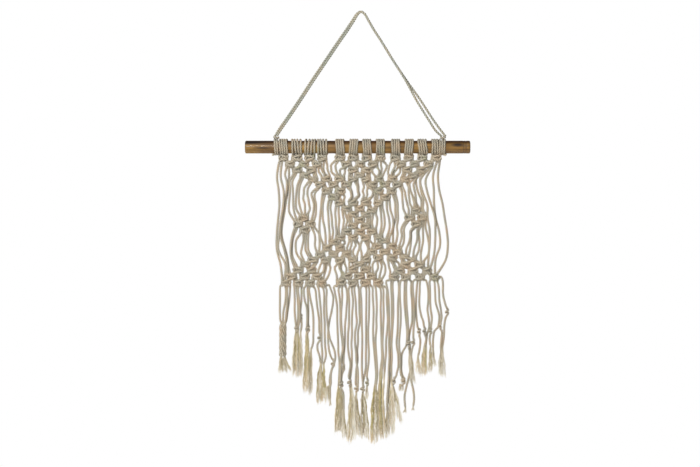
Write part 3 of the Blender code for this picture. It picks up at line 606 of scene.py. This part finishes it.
# How far the two strands of a pair stand apart in depth where they hang closer than they are thick.
def pairDepth(apart):
    thickness = cordLook["thickness"] * cordLook["hanging girth"]
    return math.sqrt(max(thickness ** 2 - apart ** 2, 0.0)) / 2.0


def freeRun(strand, upper, lower):
    pair = strand // 2
    run = freeRuns.get((pair, upper[1]))
    if run is None:
        return []
    top = knotPlace(*upper)[2] - runLook["half knot"]
    bottom = knotPlace(*lower)[2] + runLook["half knot"]
    side = -1.0 if strand % 2 == 0 else 1.0
    front = side if pair % 3 else -side
    base = runLook["depth of odd pairs"] if pair % 2 else runLook["depth of even pairs"]
    points = []
    count = len(run) // 2
    for index, (middle, apart) in enumerate(zip(run[:count], run[count:])):
        share = (index + 1) / (count + 1)
        wander = runRandom.uniform(-1, 1) * runLook["wander"]
        points.append(spot(middle + side * apart / 2.0, base + front * pairDepth(apart) + wander,
                           top + (bottom - top) * share))
    return points


# Each cord is folded over the rod in a reverse lark's head, two of them to a group.
hitchLook = {"pitch": 2.95, "turn steps": 8, "behind": 4.3, "girth": 0.9, "uneven": 0.45}
loosePitch = {1: 3.7, 2: 4.0, 3: 3.6, 10: 3.1, 11: 3.2}
groupLean = (1.0, 2.4, -2.6, 1.8, 0.8, -1.4, 0.7, 1.0, -0.8, -1.6, 2.0, 1.0)


# From the middle of the bar at the back, round the rod and down behind it to the first knot.
def hitchPath(strand):
    group, place = divmod(strand, 4)
    pitch = loosePitch.get(group, hitchLook["pitch"])
    middle = columnX(2 * group, 0)
    x = middle + (place - 1.5) * pitch
    head = middle + (-1.0 if place < 2 else 1.0) * pitch
    outward = -1.0 if place % 2 == 0 else 1.0
    lean = groupLean[group] * (1.0 if place in (1, 2) else 0.6)
    girth = hitchLook["girth"]
    close = rodRadius + cordLook["thickness"] * girth / 2.0
    sway = hitchLook["uneven"] * (1.0 if group % 2 else -1.0) * (1.0 if place in (0, 3) else 0.4)

    def onRod(angle, px, reach):
        turn = math.radians(angle)
        return spot(px + lean * math.sin(turn) * 0.5 + sway * math.sin(2.0 * turn), reach * math.cos(turn),
                    rodHeight - reach * math.sin(turn), girth)

    # from the bar across the back, under the rod, up its front, over the top and down behind it
    points = [onRod(-6.0, head, rodRadius + hitchLook["behind"]),
              onRod(4.0, x + outward * 0.3, rodRadius + hitchLook["behind"] - 0.4),
              onRod(38.0, x + outward * 0.5, rodRadius + 3.0)]
    for step in range(hitchLook["turn steps"] + 1):
        points.append(onRod(75.0 + step * 265.0 / hitchLook["turn steps"], x, close))
    points.append(onRod(365.0, x - outward * 0.2, close))
    points.append(onRod(392.0, x - outward * 0.2, close + 0.2))
    points.append(spot(x - outward * 0.2, 5.6, rodHeight - rodRadius - 1.6))
    return points


# Routes below the last knots, on a chart of squares of 4/3 mm where the nail is at (361, 10.5).
chart = {"square": 4.0 / 3.0, "nail across": 361.0, "nail down": 10.5, "girth": 0.98}
fringeRoutes = {
    0: ((280.8, 285), (280, 300), (280, 315), (281, 322)),
    1: ((285.6, 288), (285.4, 300), (283.3, 312), (282.6, 322)),
    2: ((287.2, 288), (287.2, 300), (286.4, 312), (284.8, 322)),
    3: ((290, 288), (289.2, 300), (287.4, 312), (286.2, 321)),
    4: ((294.4, 288), (294.7, 300), (294.6, 310), (295.3, 320), (296, 326)),
    5: ((296.6, 288), (297.6, 300), (298.2, 310), (297.8, 320), (297, 326)),
    6: ((298.2, 288), (299, 300), (299.7, 310), (299.5, 321), (298, 327)),
    7: ((301.4, 288), (301.4, 300), (300.4, 310), (300.3, 314.5)),
    8: ((304.1, 288), (304.7, 300), (306.6, 307), (307.2, 316), (307, 324)),
    9: ((307.6, 288), (308, 300), (308.3, 311), (308.1, 324)),
    10: ((309.3, 288), (310.6, 300), (312.3, 308), (313.3, 318), (313.3, 335), (313, 343), (311, 350)),
    11: ((315, 289), (316.4, 300), (317.6, 310), (319, 320), (319.4, 333)),
    12: ((318.6, 289), (319.8, 300), (320.7, 310), (321.3, 320), (321.5, 333)),
    13: ((323, 288), (323.9, 312), (324.6, 322), (324.6, 332), (325, 345), (325.7, 356), (323.5, 365)),
    14: ((326, 288), (326.3, 300), (326.5, 312), (327.3, 321), (328.4, 330), (330, 339), (332, 344),
         (334.3, 350), (335.3, 356), (334.8, 361)),
    15: ((328.6, 285), (331, 290), (333, 296), (333, 302), (331.6, 311), (329.6, 320), (328.4, 328),
         (328, 338), (329, 350), (331.2, 357.5)),
    16: ((334, 286.5), (334.6, 291), (335.8, 298), (337, 306), (337.2, 320), (337.6, 332),
         (338.2, 345), (338.3, 352), (339.4, 362), (339.3, 372), (338.8, 381)),
    17: ((338.5, 289), (339.5, 297), (340.3, 310), (340.4, 322), (341, 332), (342.3, 342),
         (342.8, 355), (343, 363.5)),
    18: ((342, 289), (342.2, 297), (341.2, 311), (341.2, 322), (342, 333), (343.4, 345),
         (341.2, 358), (340.5, 368), (340.3, 381)),
    19: ((346.4, 289), (347.2, 298), (346.6, 306), (345.9, 316), (345, 326), (344.9, 337),
         (344.5, 347), (343.8, 355), (343.2, 366), (341.8, 374), (341.2, 382)),
    20: ((348.6, 289), (349.2, 300), (349.1, 312), (348.8, 325), (348, 335), (347.9, 346),
         (349, 356), (350.4, 364), (349.5, 371), (348.7, 377)),
    21: ((351.7, 288), (352.9, 300), (352.3, 312), (351.7, 323), (352, 333), (351.4, 344),
         (351.8, 354), (351.6, 366), (350.8, 374), (350, 380)),
    22: ((354.3, 288), (355.5, 300), (356, 312), (356.7, 323), (355, 333), (355, 343), (356, 353),
         (356.3, 361), (357.7, 370), (357.8, 384)),
    23: ((358.6, 288), (359.2, 300), (359.4, 312), (359.8, 322), (358, 332), (358, 342), (357.2, 350),
         (357.6, 360), (356.2, 370), (355.8, 378), (356, 385)),
    24: ((360.6, 288), (361.2, 300), (361.6, 320), (362.2, 340), (362, 352), (361.8, 365),
         (362.2, 376), (363, 385)),
    25: ((366, 288), (366.3, 300), (366, 320), (366, 342), (365.8, 358), (365.8, 367), (364.3, 376),
         (362.8, 384)),
    26: ((368.9, 288), (369.2, 300), (368.8, 318), (368.2, 330), (368.4, 345), (368.8, 352),
         (368.3, 365), (367, 373), (367, 378)),
    27: ((372.2, 287), (372.7, 297), (373.5, 309), (373.4, 320), (373, 330), (373.4, 342),
         (374.8, 358), (376, 376), (375, 386)),
    28: ((375.6, 288), (376.4, 298), (376.7, 310), (376.3, 319), (376.4, 328), (375.4, 340),
         (376.6, 360), (377.2, 374), (376, 386)),
    29: ((380.1, 288), (380.6, 310), (381, 325), (381.6, 345), (382, 358), (380.7, 368)),
    30: ((382.8, 288), (383.3, 300), (383.5, 316), (383, 330), (382.4, 345), (383, 358), (382, 371)),
    31: ((386.2, 288), (386.6, 298), (387.1, 308), (387.8, 320), (387, 331), (386, 342), (386, 352),
         (385, 364), (384.5, 374)),
    32: ((386.4, 281), (387.7, 291), (388.7, 303), (389, 315), (389.2, 330), (388.9, 345),
         (389.4, 357), (388.8, 368), (388.6, 378), (387.7, 390), (387, 400), (387, 412)),
    33: ((391.4, 281), (391.7, 300), (391.9, 325), (391.4, 336), (391.1, 350), (390.6, 362),
         (389.6, 371), (389.5, 378)),
    34: ((393.2, 281), (393.1, 300), (393.2, 315), (392.3, 330), (391.4, 345), (391.8, 357),
         (391.3, 366), (391.4, 378)),
    35: ((398.4, 282), (398.8, 292), (398, 303), (397.9, 318), (397.6, 330), (396.6, 341),
         (396.8, 347), (398, 354), (398.2, 367), (396.8, 373), (395.8, 377)),
    36: ((401.4, 279.5), (399.8, 284), (399.6, 292), (400.1, 302), (400.6, 312), (400.4, 325),
         (399.2, 338), (399.2, 348), (400, 356), (400.2, 368), (401.5, 376)),
    37: ((404.7, 281), (404.4, 300), (405.2, 312), (406, 320), (407, 330), (407, 339)),
    38: ((406.6, 281), (406.3, 300), (407, 312), (407.6, 320), (408, 328), (408, 338)),
    39: ((411, 281), (411, 290), (412, 303), (412, 322), (410, 331), (409, 338)),
    40: ((413.3, 281), (413.6, 300), (414.2, 316), (413.4, 330), (413.3, 338)),
    41: ((417.7, 281), (416.5, 292), (416.2, 313), (417.5, 326), (418.3, 329)),
    42: ((420, 281), (419.5, 292), (419.3, 305), (421, 315), (423.3, 322), (424, 327)),
    43: ((425.6, 280), (427.4, 285), (428.4, 294), (428.2, 302), (427.5, 310), (428.8, 319), (429.2, 327)),
    44: ((429.6, 281), (430, 290), (430.2, 303), (430.8, 311), (431.8, 318), (430.8, 327)),
    45: ((434.2, 281), (435, 290), (435.8, 303), (437.8, 310), (439.3, 316), (439, 321)),
    46: ((437, 281), (438.7, 288), (439.3, 300), (441, 311), (441.4, 319), (440.3, 323)),
    47: ((440.6, 276.5), (442.4, 279.5), (443, 285), (443, 294), (444.2, 300), (446.7, 308)),
}


def onChart(x, z, y=0.0):
    return spot((x - chart["nail across"]) * chart["square"], y,
                (chart["nail down"] - z) * chart["square"], chart["girth"])


# What a strand does at the end of its route: "knot" is an overhand knot round itself, of that
# radius, "bundle" is one round its neighbours too, and the rest is where it goes on to.
fringeEnds = {
    4: {"then": ((296, 331),)},
    5: {"bundle": (296.7, 328, 3.1), "then": ((296.5, 333),)},
    6: {"then": ((298, 332),)},
    7: {"knot": (300.6, 317.8, 2.0), "then": ((301.5, 322), (301.4, 327), (300.5, 333))},
    8: {"then": ((306.5, 333),)},
    9: {"bundle": (307.6, 329, 2.7), "then": ((307.5, 334),)},
    11: {"bundle": (319.5, 337.8, 2.4), "then": ((317.6, 344), (317.6, 350), (319.5, 356), (320.5, 364))},
    12: {"then": ((321.6, 345), (322.3, 354), (321.5, 365))},
    14: {"then": ((333.2, 365), (331.3, 371), (330.8, 379), (331, 386))},
    15: {"bundle": (332.9, 363.8, 2.3), "then": ((330.8, 373), (329.7, 379), (330, 387), (330, 394),
                                                 (330, 401))},
    17: {"knot": (343.3, 367.8, 1.9), "then": ((342, 374), (341, 384))},
    18: {"then": ((340.5, 386),)},
    19: {"bundle": (340.6, 384.5, 3.4), "then": ((343.2, 393), (343.6, 402), (343.6, 411))},
    20: {"bundle": (349.3, 382.5, 2.5), "then": ((350, 388),)},
    22: {"then": ((356.8, 392),)},
    23: {"bundle": (356.4, 388.5, 2.6), "then": ((356, 393),)},
    24: {"then": ((363, 391),)},
    25: {"bundle": (362.4, 388.8, 2.6), "then": ((362.5, 393),)},
    26: {"knot": (367, 382.5, 1.9), "then": ((367, 387),)},
    35: {"knot": (393.6, 380.8, 2.2), "then": ((392.5, 385), (393.5, 389))},
    36: {"knot": (403.3, 380.8, 2.1), "then": ((402, 385), (400, 386))},
    37: {"then": ((406, 346), (403.6, 350), (401.7, 355), (401.5, 363), (401.3, 370), (402.6, 377))},
    38: {"bundle": (408.3, 344, 3.0), "then": ((409, 350),)},
    39: {"then": ((410.3, 352), (411, 366), (409, 376), (406.6, 386), (404.6, 396), (405.3, 409))},
    40: {"knot": (413, 342.3, 2.2), "then": ((411.4, 352), (411.5, 368), (411.5, 381), (413.4, 391),
                                             (414, 399), (413, 407))},
    41: {"knot": (419, 332, 2.0), "then": ((420.3, 340), (419.5, 350), (418, 357))},
    42: {"knot": (424.3, 331, 2.0), "then": ((426, 338), (424.5, 347))},
    43: {"then": ((427, 335), (426, 345))},
    44: {"knot": (430.2, 331, 2.1), "then": ((429.5, 338), (430.5, 347))},
    45: {"then": ((438, 327), (434.6, 331), (433.2, 338), (433, 350))},
    46: {"knot": (439.7, 326, 2.0), "then": ((441.7, 331), (441.3, 339), (440.5, 350))},
    47: {"knot": (447, 312, 2.1), "then": ((445.6, 318), (444.3, 326), (444, 335), (442.5, 347))},
}

# The first four strands end in one twisted rope, from one place on the chart to another.
ropeLock = {
    "strands": (0, 1, 2, 3),
    "middle": (282.9, 322.0, 282.7, 357.0),
    "radius": 3.0,
    "girth": 1.38,
    "turns": 1.4,
    "steps": 12,
}
fringeLook = {
    "depth of odd strands": 1.5,
    "depth of even strands": -1.2,
    "depth change": 0.4,
    "depth below a knot": 0.8,
    "knot narrower": 0.8,
}


# One tight overhand knot: round from the front, behind, and down through the middle.
def overhand(centre, radius, y):
    turnAngles = (60.0, -20.0, -90.0, -160.0, -235.0, -300.0, -370.0, -440.0)
    drops = (4.0, 2.6, 1.6, 0.2, -0.9, -0.2, -1.9, -3.6)
    points = []
    for angle, drop in zip(turnAngles, drops):
        turn = math.radians(angle)
        points.append(centre + np.array((fringeLook["knot narrower"] * radius * math.cos(turn),
                                         y + radius * math.sin(turn), drop, 0.0)))
    return points


def fringePath(strand):
    depth = fringeLook["depth of odd strands"] if strand % 2 else fringeLook["depth of even strands"]
    depth += runRandom.uniform(-fringeLook["depth change"], fringeLook["depth change"])
    points = [onChart(x, z, depth) for x, z in fringeRoutes[strand]]
    end = fringeEnds.get(strand, {})
    for kind in ("knot", "bundle"):
        if kind in end:
            x, z, radius = end[kind]
            points += overhand(onChart(x, z), radius, depth if kind == "knot" else 0.0)
            depth = depth if kind == "knot" else 0.0
    points += [onChart(x, z, depth * fringeLook["depth below a knot"]) for x, z in end.get("then", ())]
    if strand in ropeLock["strands"]:
        x0, z0, x1, z1 = ropeLock["middle"]
        start = 0.5 * math.pi * ropeLock["strands"].index(strand)
        for i in range(1, ropeLock["steps"] + 1):
            share = i / ropeLock["steps"]
            turn = start + fullTurn * ropeLock["turns"] * share
            middle = onChart(x0 + (x1 - x0) * share, z0 + (z1 - z0) * share)
            middle[3] = ropeLock["girth"]
            points.append(middle + ropeLock["radius"] * spot(math.cos(turn), math.sin(turn), 0.0, 0.0))
    return points


# Each of the 24 cords is one length from end to end.
def strandPath(strand):
    points = hitchPath(strand)
    knots = pairKnots(strand // 2)
    for index, (column, row) in enumerate(knots):
        points += knotPass(strand, column, row)
        if index + 1 < len(knots):
            points += freeRun(strand, (column, row), knots[index + 1])
    return points + fringePath(strand)


panelNodes = {0: "fringe_left", 1: "fringe_middle", 2: "fringe_right"}
strandTips = {}
for cord in range(cordCount):
    left = strandPath(2 * cord)
    right = strandPath(2 * cord + 1)
    path = left[::-1] + right[1:]
    strandTips[2 * cord] = left[-1]
    strandTips[2 * cord + 1] = right[-1]
    obj, line = ropeObject("knottedCord%02d" % (cord + 1), path, cottonCord,
                           phase=cord * 0.37, endTaper=3.0)
    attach(obj, "root")
    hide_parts("macrame_net", panelNodes[cord // 8])
print("knotted cords done")


# Strands that fray together: their body and their tip on the chart, each with its width, and how
# warm their colour is.
frays = (
    ((0, 1, 2, 3), (283, 361, 9), (284.5, 371, 13), 0.25),
    ((4, 5, 6), (296.5, 350, 8.5), (297, 375, 10.5), 0.9),
    ((7,), (301, 350, 3), (301.5, 370, 4), 0.2),
    ((8, 9), (307.3, 356, 5.5), (306.5, 391, 8), 0.6),
    ((10,), (310.5, 365, 3.5), (310.5, 393, 4), 0.3),
    ((11, 12), (320, 380, 6), (320, 401, 6), 0.6),
    ((13, 14), (325.5, 388, 7), (325, 400, 8), 0.75),
    ((15,), (330, 402, 1.5), (330, 405, 2), 0.2),
    ((16, 17, 18), (339.3, 403, 8), (337.8, 430, 7.5), 0.75),
    ((19,), (343.8, 420, 3.5), (345, 437, 4.5), 0.3),
    ((20, 21), (351.6, 400, 6), (350.5, 440, 10), 0.6),
    ((22, 23), (356, 404, 4), (359.8, 435, 7), 0.55),
    ((24, 25), (363.4, 402, 5), (365.5, 437, 8), 0.4),
    ((26,), (366.5, 393, 2.5), (366, 399, 3), 0.3),
    ((27, 28), (374.8, 401, 6.5), (374.3, 442, 8), 0.65),
    ((29, 30, 31), (380.6, 396, 7), (382, 436, 9), 0.8),
    ((32,), (386.5, 422, 2.5), (387, 437, 5), 0.2),
    ((33, 34), (391, 400, 7.5), (390.5, 432, 9), 0.85),
    ((35,), (397, 402, 4), (400, 421, 5), 0.3),
    ((36,), (401, 387, 6), (400.5, 391, 5), 0.3),
    ((37,), (403, 380, 4), (403.5, 384, 4), 0.3),
    ((38,), (411, 365, 5.5), (412.5, 383, 6.5), 0.5),
    ((39,), (405.3, 410, 1.5), (404.5, 412, 3), 0.1),
    ((40,), (413, 408, 1.5), (412.8, 410, 3), 0.1),
    ((41,), (418.3, 364, 4), (418.5, 374, 5), 0.7),
    ((42, 43), (424.5, 358, 6), (424, 373, 7), 0.7),
    ((44,), (430, 358, 3.5), (430, 370, 4), 0.6),
    ((45,), (433, 356, 3), (434, 364, 4), 0.5),
    ((46,), (440.5, 360, 3), (440.3, 373, 4), 0.2),
    ((47,), (442.5, 358, 3.5), (443.5, 376, 6), 0.25),
)
frayLook = {
    "yarns": 42,
    "yarn radius": 0.24,  # real ones are finer, and wouldn't show
    "step": 2.4,
    "crimp": 0.4,
    "ply wave": 0.45,
    "crimp length": 9.0,
    "ply wave length": 30.0,
    "depth": 2.5,
    "ragged": 4.5,
    "top tone": 0.3,
    "shaded length": 14.0,
    "loosens over": 14.0,
    "pale tips": 0.6,
    "thin tips": 0.55,
    "ply tones": (0.05, 0.95),
    "ply warmth": (0.3, 1.7),
    "tone change": 0.3,
    "spread across": 0.8,
    "spread through": 0.25,
    "waist": 0.25,
    "seed": 21,
}
frayRandom = np.random.default_rng(frayLook["seed"])


# Each strand opens into its three plies, and each of them into wavy yarns that stay near it.
def makeFray(index, strands, body, tip, warmth):
    verts, faces, tones, warms = [], [], [], []
    sides = 3
    start = 0
    bodyMiddle = onChart(body[0], body[1])[:3]
    tipMiddle = onChart(tip[0], tip[1])[:3]
    bodyHalf = body[2] * chart["square"] / 2.0
    tipHalf = tip[2] * chart["square"] / 2.0
    plyCount = len(strands) * cordLook["plies"]
    for ply in range(plyCount):
        top = strandTips[strands[ply // cordLook["plies"]]][:3]
        plyAcross = -1.0 + 2.0 * (ply + 0.5 + frayRandom.uniform(-0.3, 0.3)) / plyCount
        plyThrough = frayRandom.uniform(-0.8, 0.8)
        plyTone = frayRandom.uniform(*frayLook["ply tones"])
        plyWarmth = min(1.0, warmth * frayRandom.uniform(*frayLook["ply warmth"]))
        plyPhase = frayRandom.uniform(0.0, fullTurn, 2)
        plyDrop = frayRandom.normal(0.0, 0.35) * frayLook["ragged"]
        for yarn in range(frayLook["yarns"] // cordLook["plies"]):
            across = plyAcross + frayRandom.normal(0.0, frayLook["spread across"]) / plyCount
            through = plyThrough + frayRandom.normal(0.0, frayLook["spread through"])
            drop = plyDrop + frayRandom.normal(0.0, 0.4) * frayLook["ragged"]
            reach = min(1.0, abs(top[2] - tipMiddle[2]) / 20.0)
            first = top + np.array((1.1 * frayRandom.uniform(-1, 1), frayRandom.uniform(-1, 1), 3.0))
            middle = bodyMiddle + np.array((across * bodyHalf * 0.9, through * frayLook["depth"], 0.0))
            last = tipMiddle + np.array((across * tipHalf, through * frayLook["depth"] * 1.2, drop * reach))
            waist = first * (1.0 - frayLook["waist"]) + middle * frayLook["waist"]
            line = smoothLine((first, waist, middle, last), frayLook["step"])
            count = len(line)
            along = np.linspace(0.0, 1.0, count)
            distance = along * frayLook["step"] * count
            loose = np.clip(distance / frayLook["loosens over"], 0.0, 1.0)
            phase = frayRandom.uniform(0.0, fullTurn, 2)
            length = frayLook["crimp length"] * frayRandom.uniform(0.8, 1.5)
            crimp = fullTurn * distance / length
            wave = fullTurn * distance / frayLook["ply wave length"]
            line[:, 0] += loose * (frayLook["crimp"] * np.cos(crimp + phase[0])
                                   + frayLook["ply wave"] * np.cos(wave + plyPhase[0]))
            line[:, 1] += loose * (frayLook["crimp"] * np.sin(crimp + phase[1])
                                   + frayLook["ply wave"] * np.sin(wave + plyPhase[1]))
            side, up = carriedFrames(line)
            radius = frayLook["yarn radius"] * (1.0 - frayLook["thin tips"] * along ** 4)
            angle = fullTurn * np.arange(sides) / sides
            ring = (side[:, None, :] * np.cos(angle)[None, :, None]
                    + up[:, None, :] * np.sin(angle)[None, :, None]) * radius[:, None, None]
            verts.append((line[:, None, :] + ring).reshape(-1, 3))
            faces += tubeFaces(count, sides, start).tolist()
            faces += [[start + 2, start + 1, start], [start + (count - 1) * sides + j for j in range(3)]]
            start += count * sides
            change = frayRandom.uniform(-frayLook["tone change"], frayLook["tone change"])
            tone = np.clip(plyTone + change, 0.0, 1.0)
            opened = np.clip((distance - 3.0) / frayLook["shaded length"], 0.0, 1.0)
            shade = frayLook["top tone"] + (tone - frayLook["top tone"]) * opened
            shade = shade + (1.0 - shade) * frayLook["pale tips"] * along ** 3
            tones.append(np.repeat(shade, sides))
            warms.append(np.repeat(plyWarmth * opened, sides))
    obj = meshObject("frayedEnd%02d" % (index + 1), np.vstack(verts), faces, looseYarn,
                     {"tone": np.concatenate(tones), "warm": np.concatenate(warms)})
    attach(obj, "root")


for index, (strands, body, tip, warmth) in enumerate(frays):
    makeFray(index, strands, body, tip, warmth)
print("frayed ends done")


# The hanger's two cords side by side: the middle between them and how far apart they are.
hangerRoute = (
    (-113.2, -167.0, 2.6),
    (-107.0, -157.0, 2.6),
    (-99.3, -146.0, 2.6),
    (-81.3, -119.3, 2.6),
    (-64.0, -92.7, 2.6),
    (-46.0, -66.0, 2.6),
    (-28.0, -39.3, 2.6),
    (-18.7, -26.0, 2.6),
    (-10.0, -12.7, 2.2),
    (-4.6, -4.4, 1.6),
    (0.0, -1.6, 0.8),
    (4.6, -4.4, 0.0),
    (9.6, -12.7, 0.0),
    (17.3, -26.0, 0.0),
    (26.0, -39.3, 0.0),
    (42.4, -66.0, 0.0),
    (59.7, -92.7, 1.2),
    (76.3, -119.3, 4.6),
    (93.3, -146.0, 5.2),
    (101.8, -158.5, 5.8),
    (110.2, -167.8, 5.0),
)
hangerLook = {"gap": 0.3, "lean": 0.68}


# The inner, front cord is 0 and the outer, back one is 1.
def hangerPoints(member):
    side = -1.0 if member == 0 else 1.0
    touching = cordLook["thickness"] + hangerLook["gap"]
    points = []
    for index, (x, z, apart) in enumerate(hangerRoute):
        depth = math.sqrt(max(touching ** 2 - apart ** 2, 0.0)) / 2.0
        lean = 0.0 if index in (0, len(hangerRoute) - 1) else hangerLook["lean"]
        across = np.array((float(np.sign(x)), 0.0, lean))
        across /= np.linalg.norm(across)
        x, y, z = np.array((x, side * depth, z)) + across * side * apart / 2.0
        points.append(spot(x, y, z, 1.0))
    return points


for member, name in enumerate(("hangerCordFront", "hangerCordBack")):
    obj, line = ropeObject(name, hangerPoints(member), hangerCotton, phase=1.7 * member)
    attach(obj, "root")
    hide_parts(("hanger_cord_front", "hanger_cord_back")[member])


# The bend is across from the middle of the turns, in depth, and up from the cord on top of the rod.
tieLook = {
    "bend": ((1.0, 0.0, 3.4), (2.6, -1.8, 1.8), (-0.5, -2.9, 0.6), (-2.9, 0.2, 1.2), (-0.4, 2.5, 0.9)),
    "turn steps": 10,
    "first turn starts": 0.30,
}


# The hanger's end: a bend of cord for its knot, then round the rod, and a short tail below.
def tiePoints(middle, turns, direction, tail):
    girth = hitchLook["girth"]
    close = rodRadius + cordLook["thickness"] * girth / 2.0
    top = rodHeight + rodRadius + cordLook["thickness"]
    width = turns * hitchLook["pitch"]
    points = [spot(middle + direction * x, y, top + z, 1.0) for x, y, z in tieLook["bend"]]
    points[-1][3] = girth
    steps = tieLook["turn steps"] * turns
    for i in range(steps + 1):
        turn = fullTurn * (i / tieLook["turn steps"] + tieLook["first turn starts"])
        x = middle - direction * width / 2.0 + direction * width * i / steps
        points.append(spot(x, close * math.sin(turn), rodHeight + close * math.cos(turn), girth))
    return points + [spot(middle + direction * x, y, rodHeight - rodRadius - z, 1.0) for x, y, z in tail]


ties = (
    ("hangerTieLeft", "hanger_wrap_left", -113.0, 2, -1.0, ((3.4, -3.0, 1.8), (5.0, -4.5, 2.0))),
    ("hangerTieRight", "hanger_wrap_right", 109.5, 2, 1.0, ((3.0, -3.0, 1.8), (2.0, -4.5, 2.4))),
)
for name, node, middle, turns, direction, tail in ties:
    obj, line = ropeObject(name, tiePoints(middle, turns, direction, tail), cottonCord, phase=0.8)
    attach(obj, "root")
    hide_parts(node)
print("hanger done")


studio = {
    "floor drop": 0.95,
    "floor size": 0.8,
    "sky for the object": 0.08,
    "light size": 0.6,
    "lights": (
        ("front light", 51.0, (-0.7, -1.8, 0.5)),
        ("fill light", 3.0, (0.9, -1.2, -0.7)),
        ("back left light", 26.0, (-1.6, 1.5, -0.1)),
        ("back right light", 26.0, (1.6, 1.5, -0.1)),
    ),
    "lights aim at": (0.0, 0.0, -0.3),
    "floor glow": 0.6,
    "lens": 85.0,
    "view width": 700.0 * 4.0 / 3.0,
    "view middle": (-14.7, -297.3),
}


def makeStudio():
    white = (1.0, 1.0, 1.0, 1.0)
    bpy.ops.object.select_all(action="DESELECT")
    bpy.ops.mesh.primitive_circle_add(vertices=64, radius=studio["floor size"], fill_type="NGON",
                                      location=(0.0, 0.0, -studio["floor drop"]))
    floor = bpy.context.object
    floor.name = "floor"
    material, tree, shader = newMaterial("paleFloor")
    setInputs(tree, shader, {"Base Color": hexColour("#f4f2ee"), "Roughness": 0.8,
                             "Emission Color": white, "Emission Strength": studio["floor glow"]})
    floor.data.materials.append(material)

    world = bpy.data.worlds.new("whiteStudio")
    bpy.context.scene.world = world
    world.use_nodes = True
    tree = world.node_tree
    # the backdrop looks white to the camera, but it lights the object less than that
    rays = addNode(tree, "ShaderNodeLightPath")
    strength = addNode(tree, "ShaderNodeMapRange", inputs={
        "Value": rays.outputs["Is Camera Ray"], "To Min": studio["sky for the object"], "To Max": 1.0})
    setInputs(tree, tree.nodes["Background"], {"Color": white, "Strength": strength.outputs["Result"]})

    target = Vector(studio["lights aim at"])
    for name, power, place in studio["lights"]:
        light = bpy.data.lights.new(name, "AREA")
        light.energy = power
        light.size = studio["light size"]
        lamp = bpy.data.objects.new(name, light)
        lamp.location = place
        lamp.rotation_euler = (target - lamp.location).to_track_quat("-Z", "Y").to_euler()
        bpy.context.scene.collection.objects.link(lamp)

    cameraData = bpy.data.cameras.new("camera")
    cameraData.lens = studio["lens"]
    camera = bpy.data.objects.new("camera", cameraData)
    away = studio["view width"] * studio["lens"] / cameraData.sensor_width
    across, height = studio["view middle"]
    camera.location = (across * mm, -away * mm, height * mm)
    camera.rotation_euler = (math.pi / 2.0, 0.0, 0.0)
    bpy.context.scene.collection.objects.link(camera)
    bpy.context.scene.camera = camera
    # plain colours, so that the white backdrop stays white
    bpy.context.scene.view_settings.view_transform = "Standard"


makeStudio()
print("studio done")

bpy.context.view_layer.update()
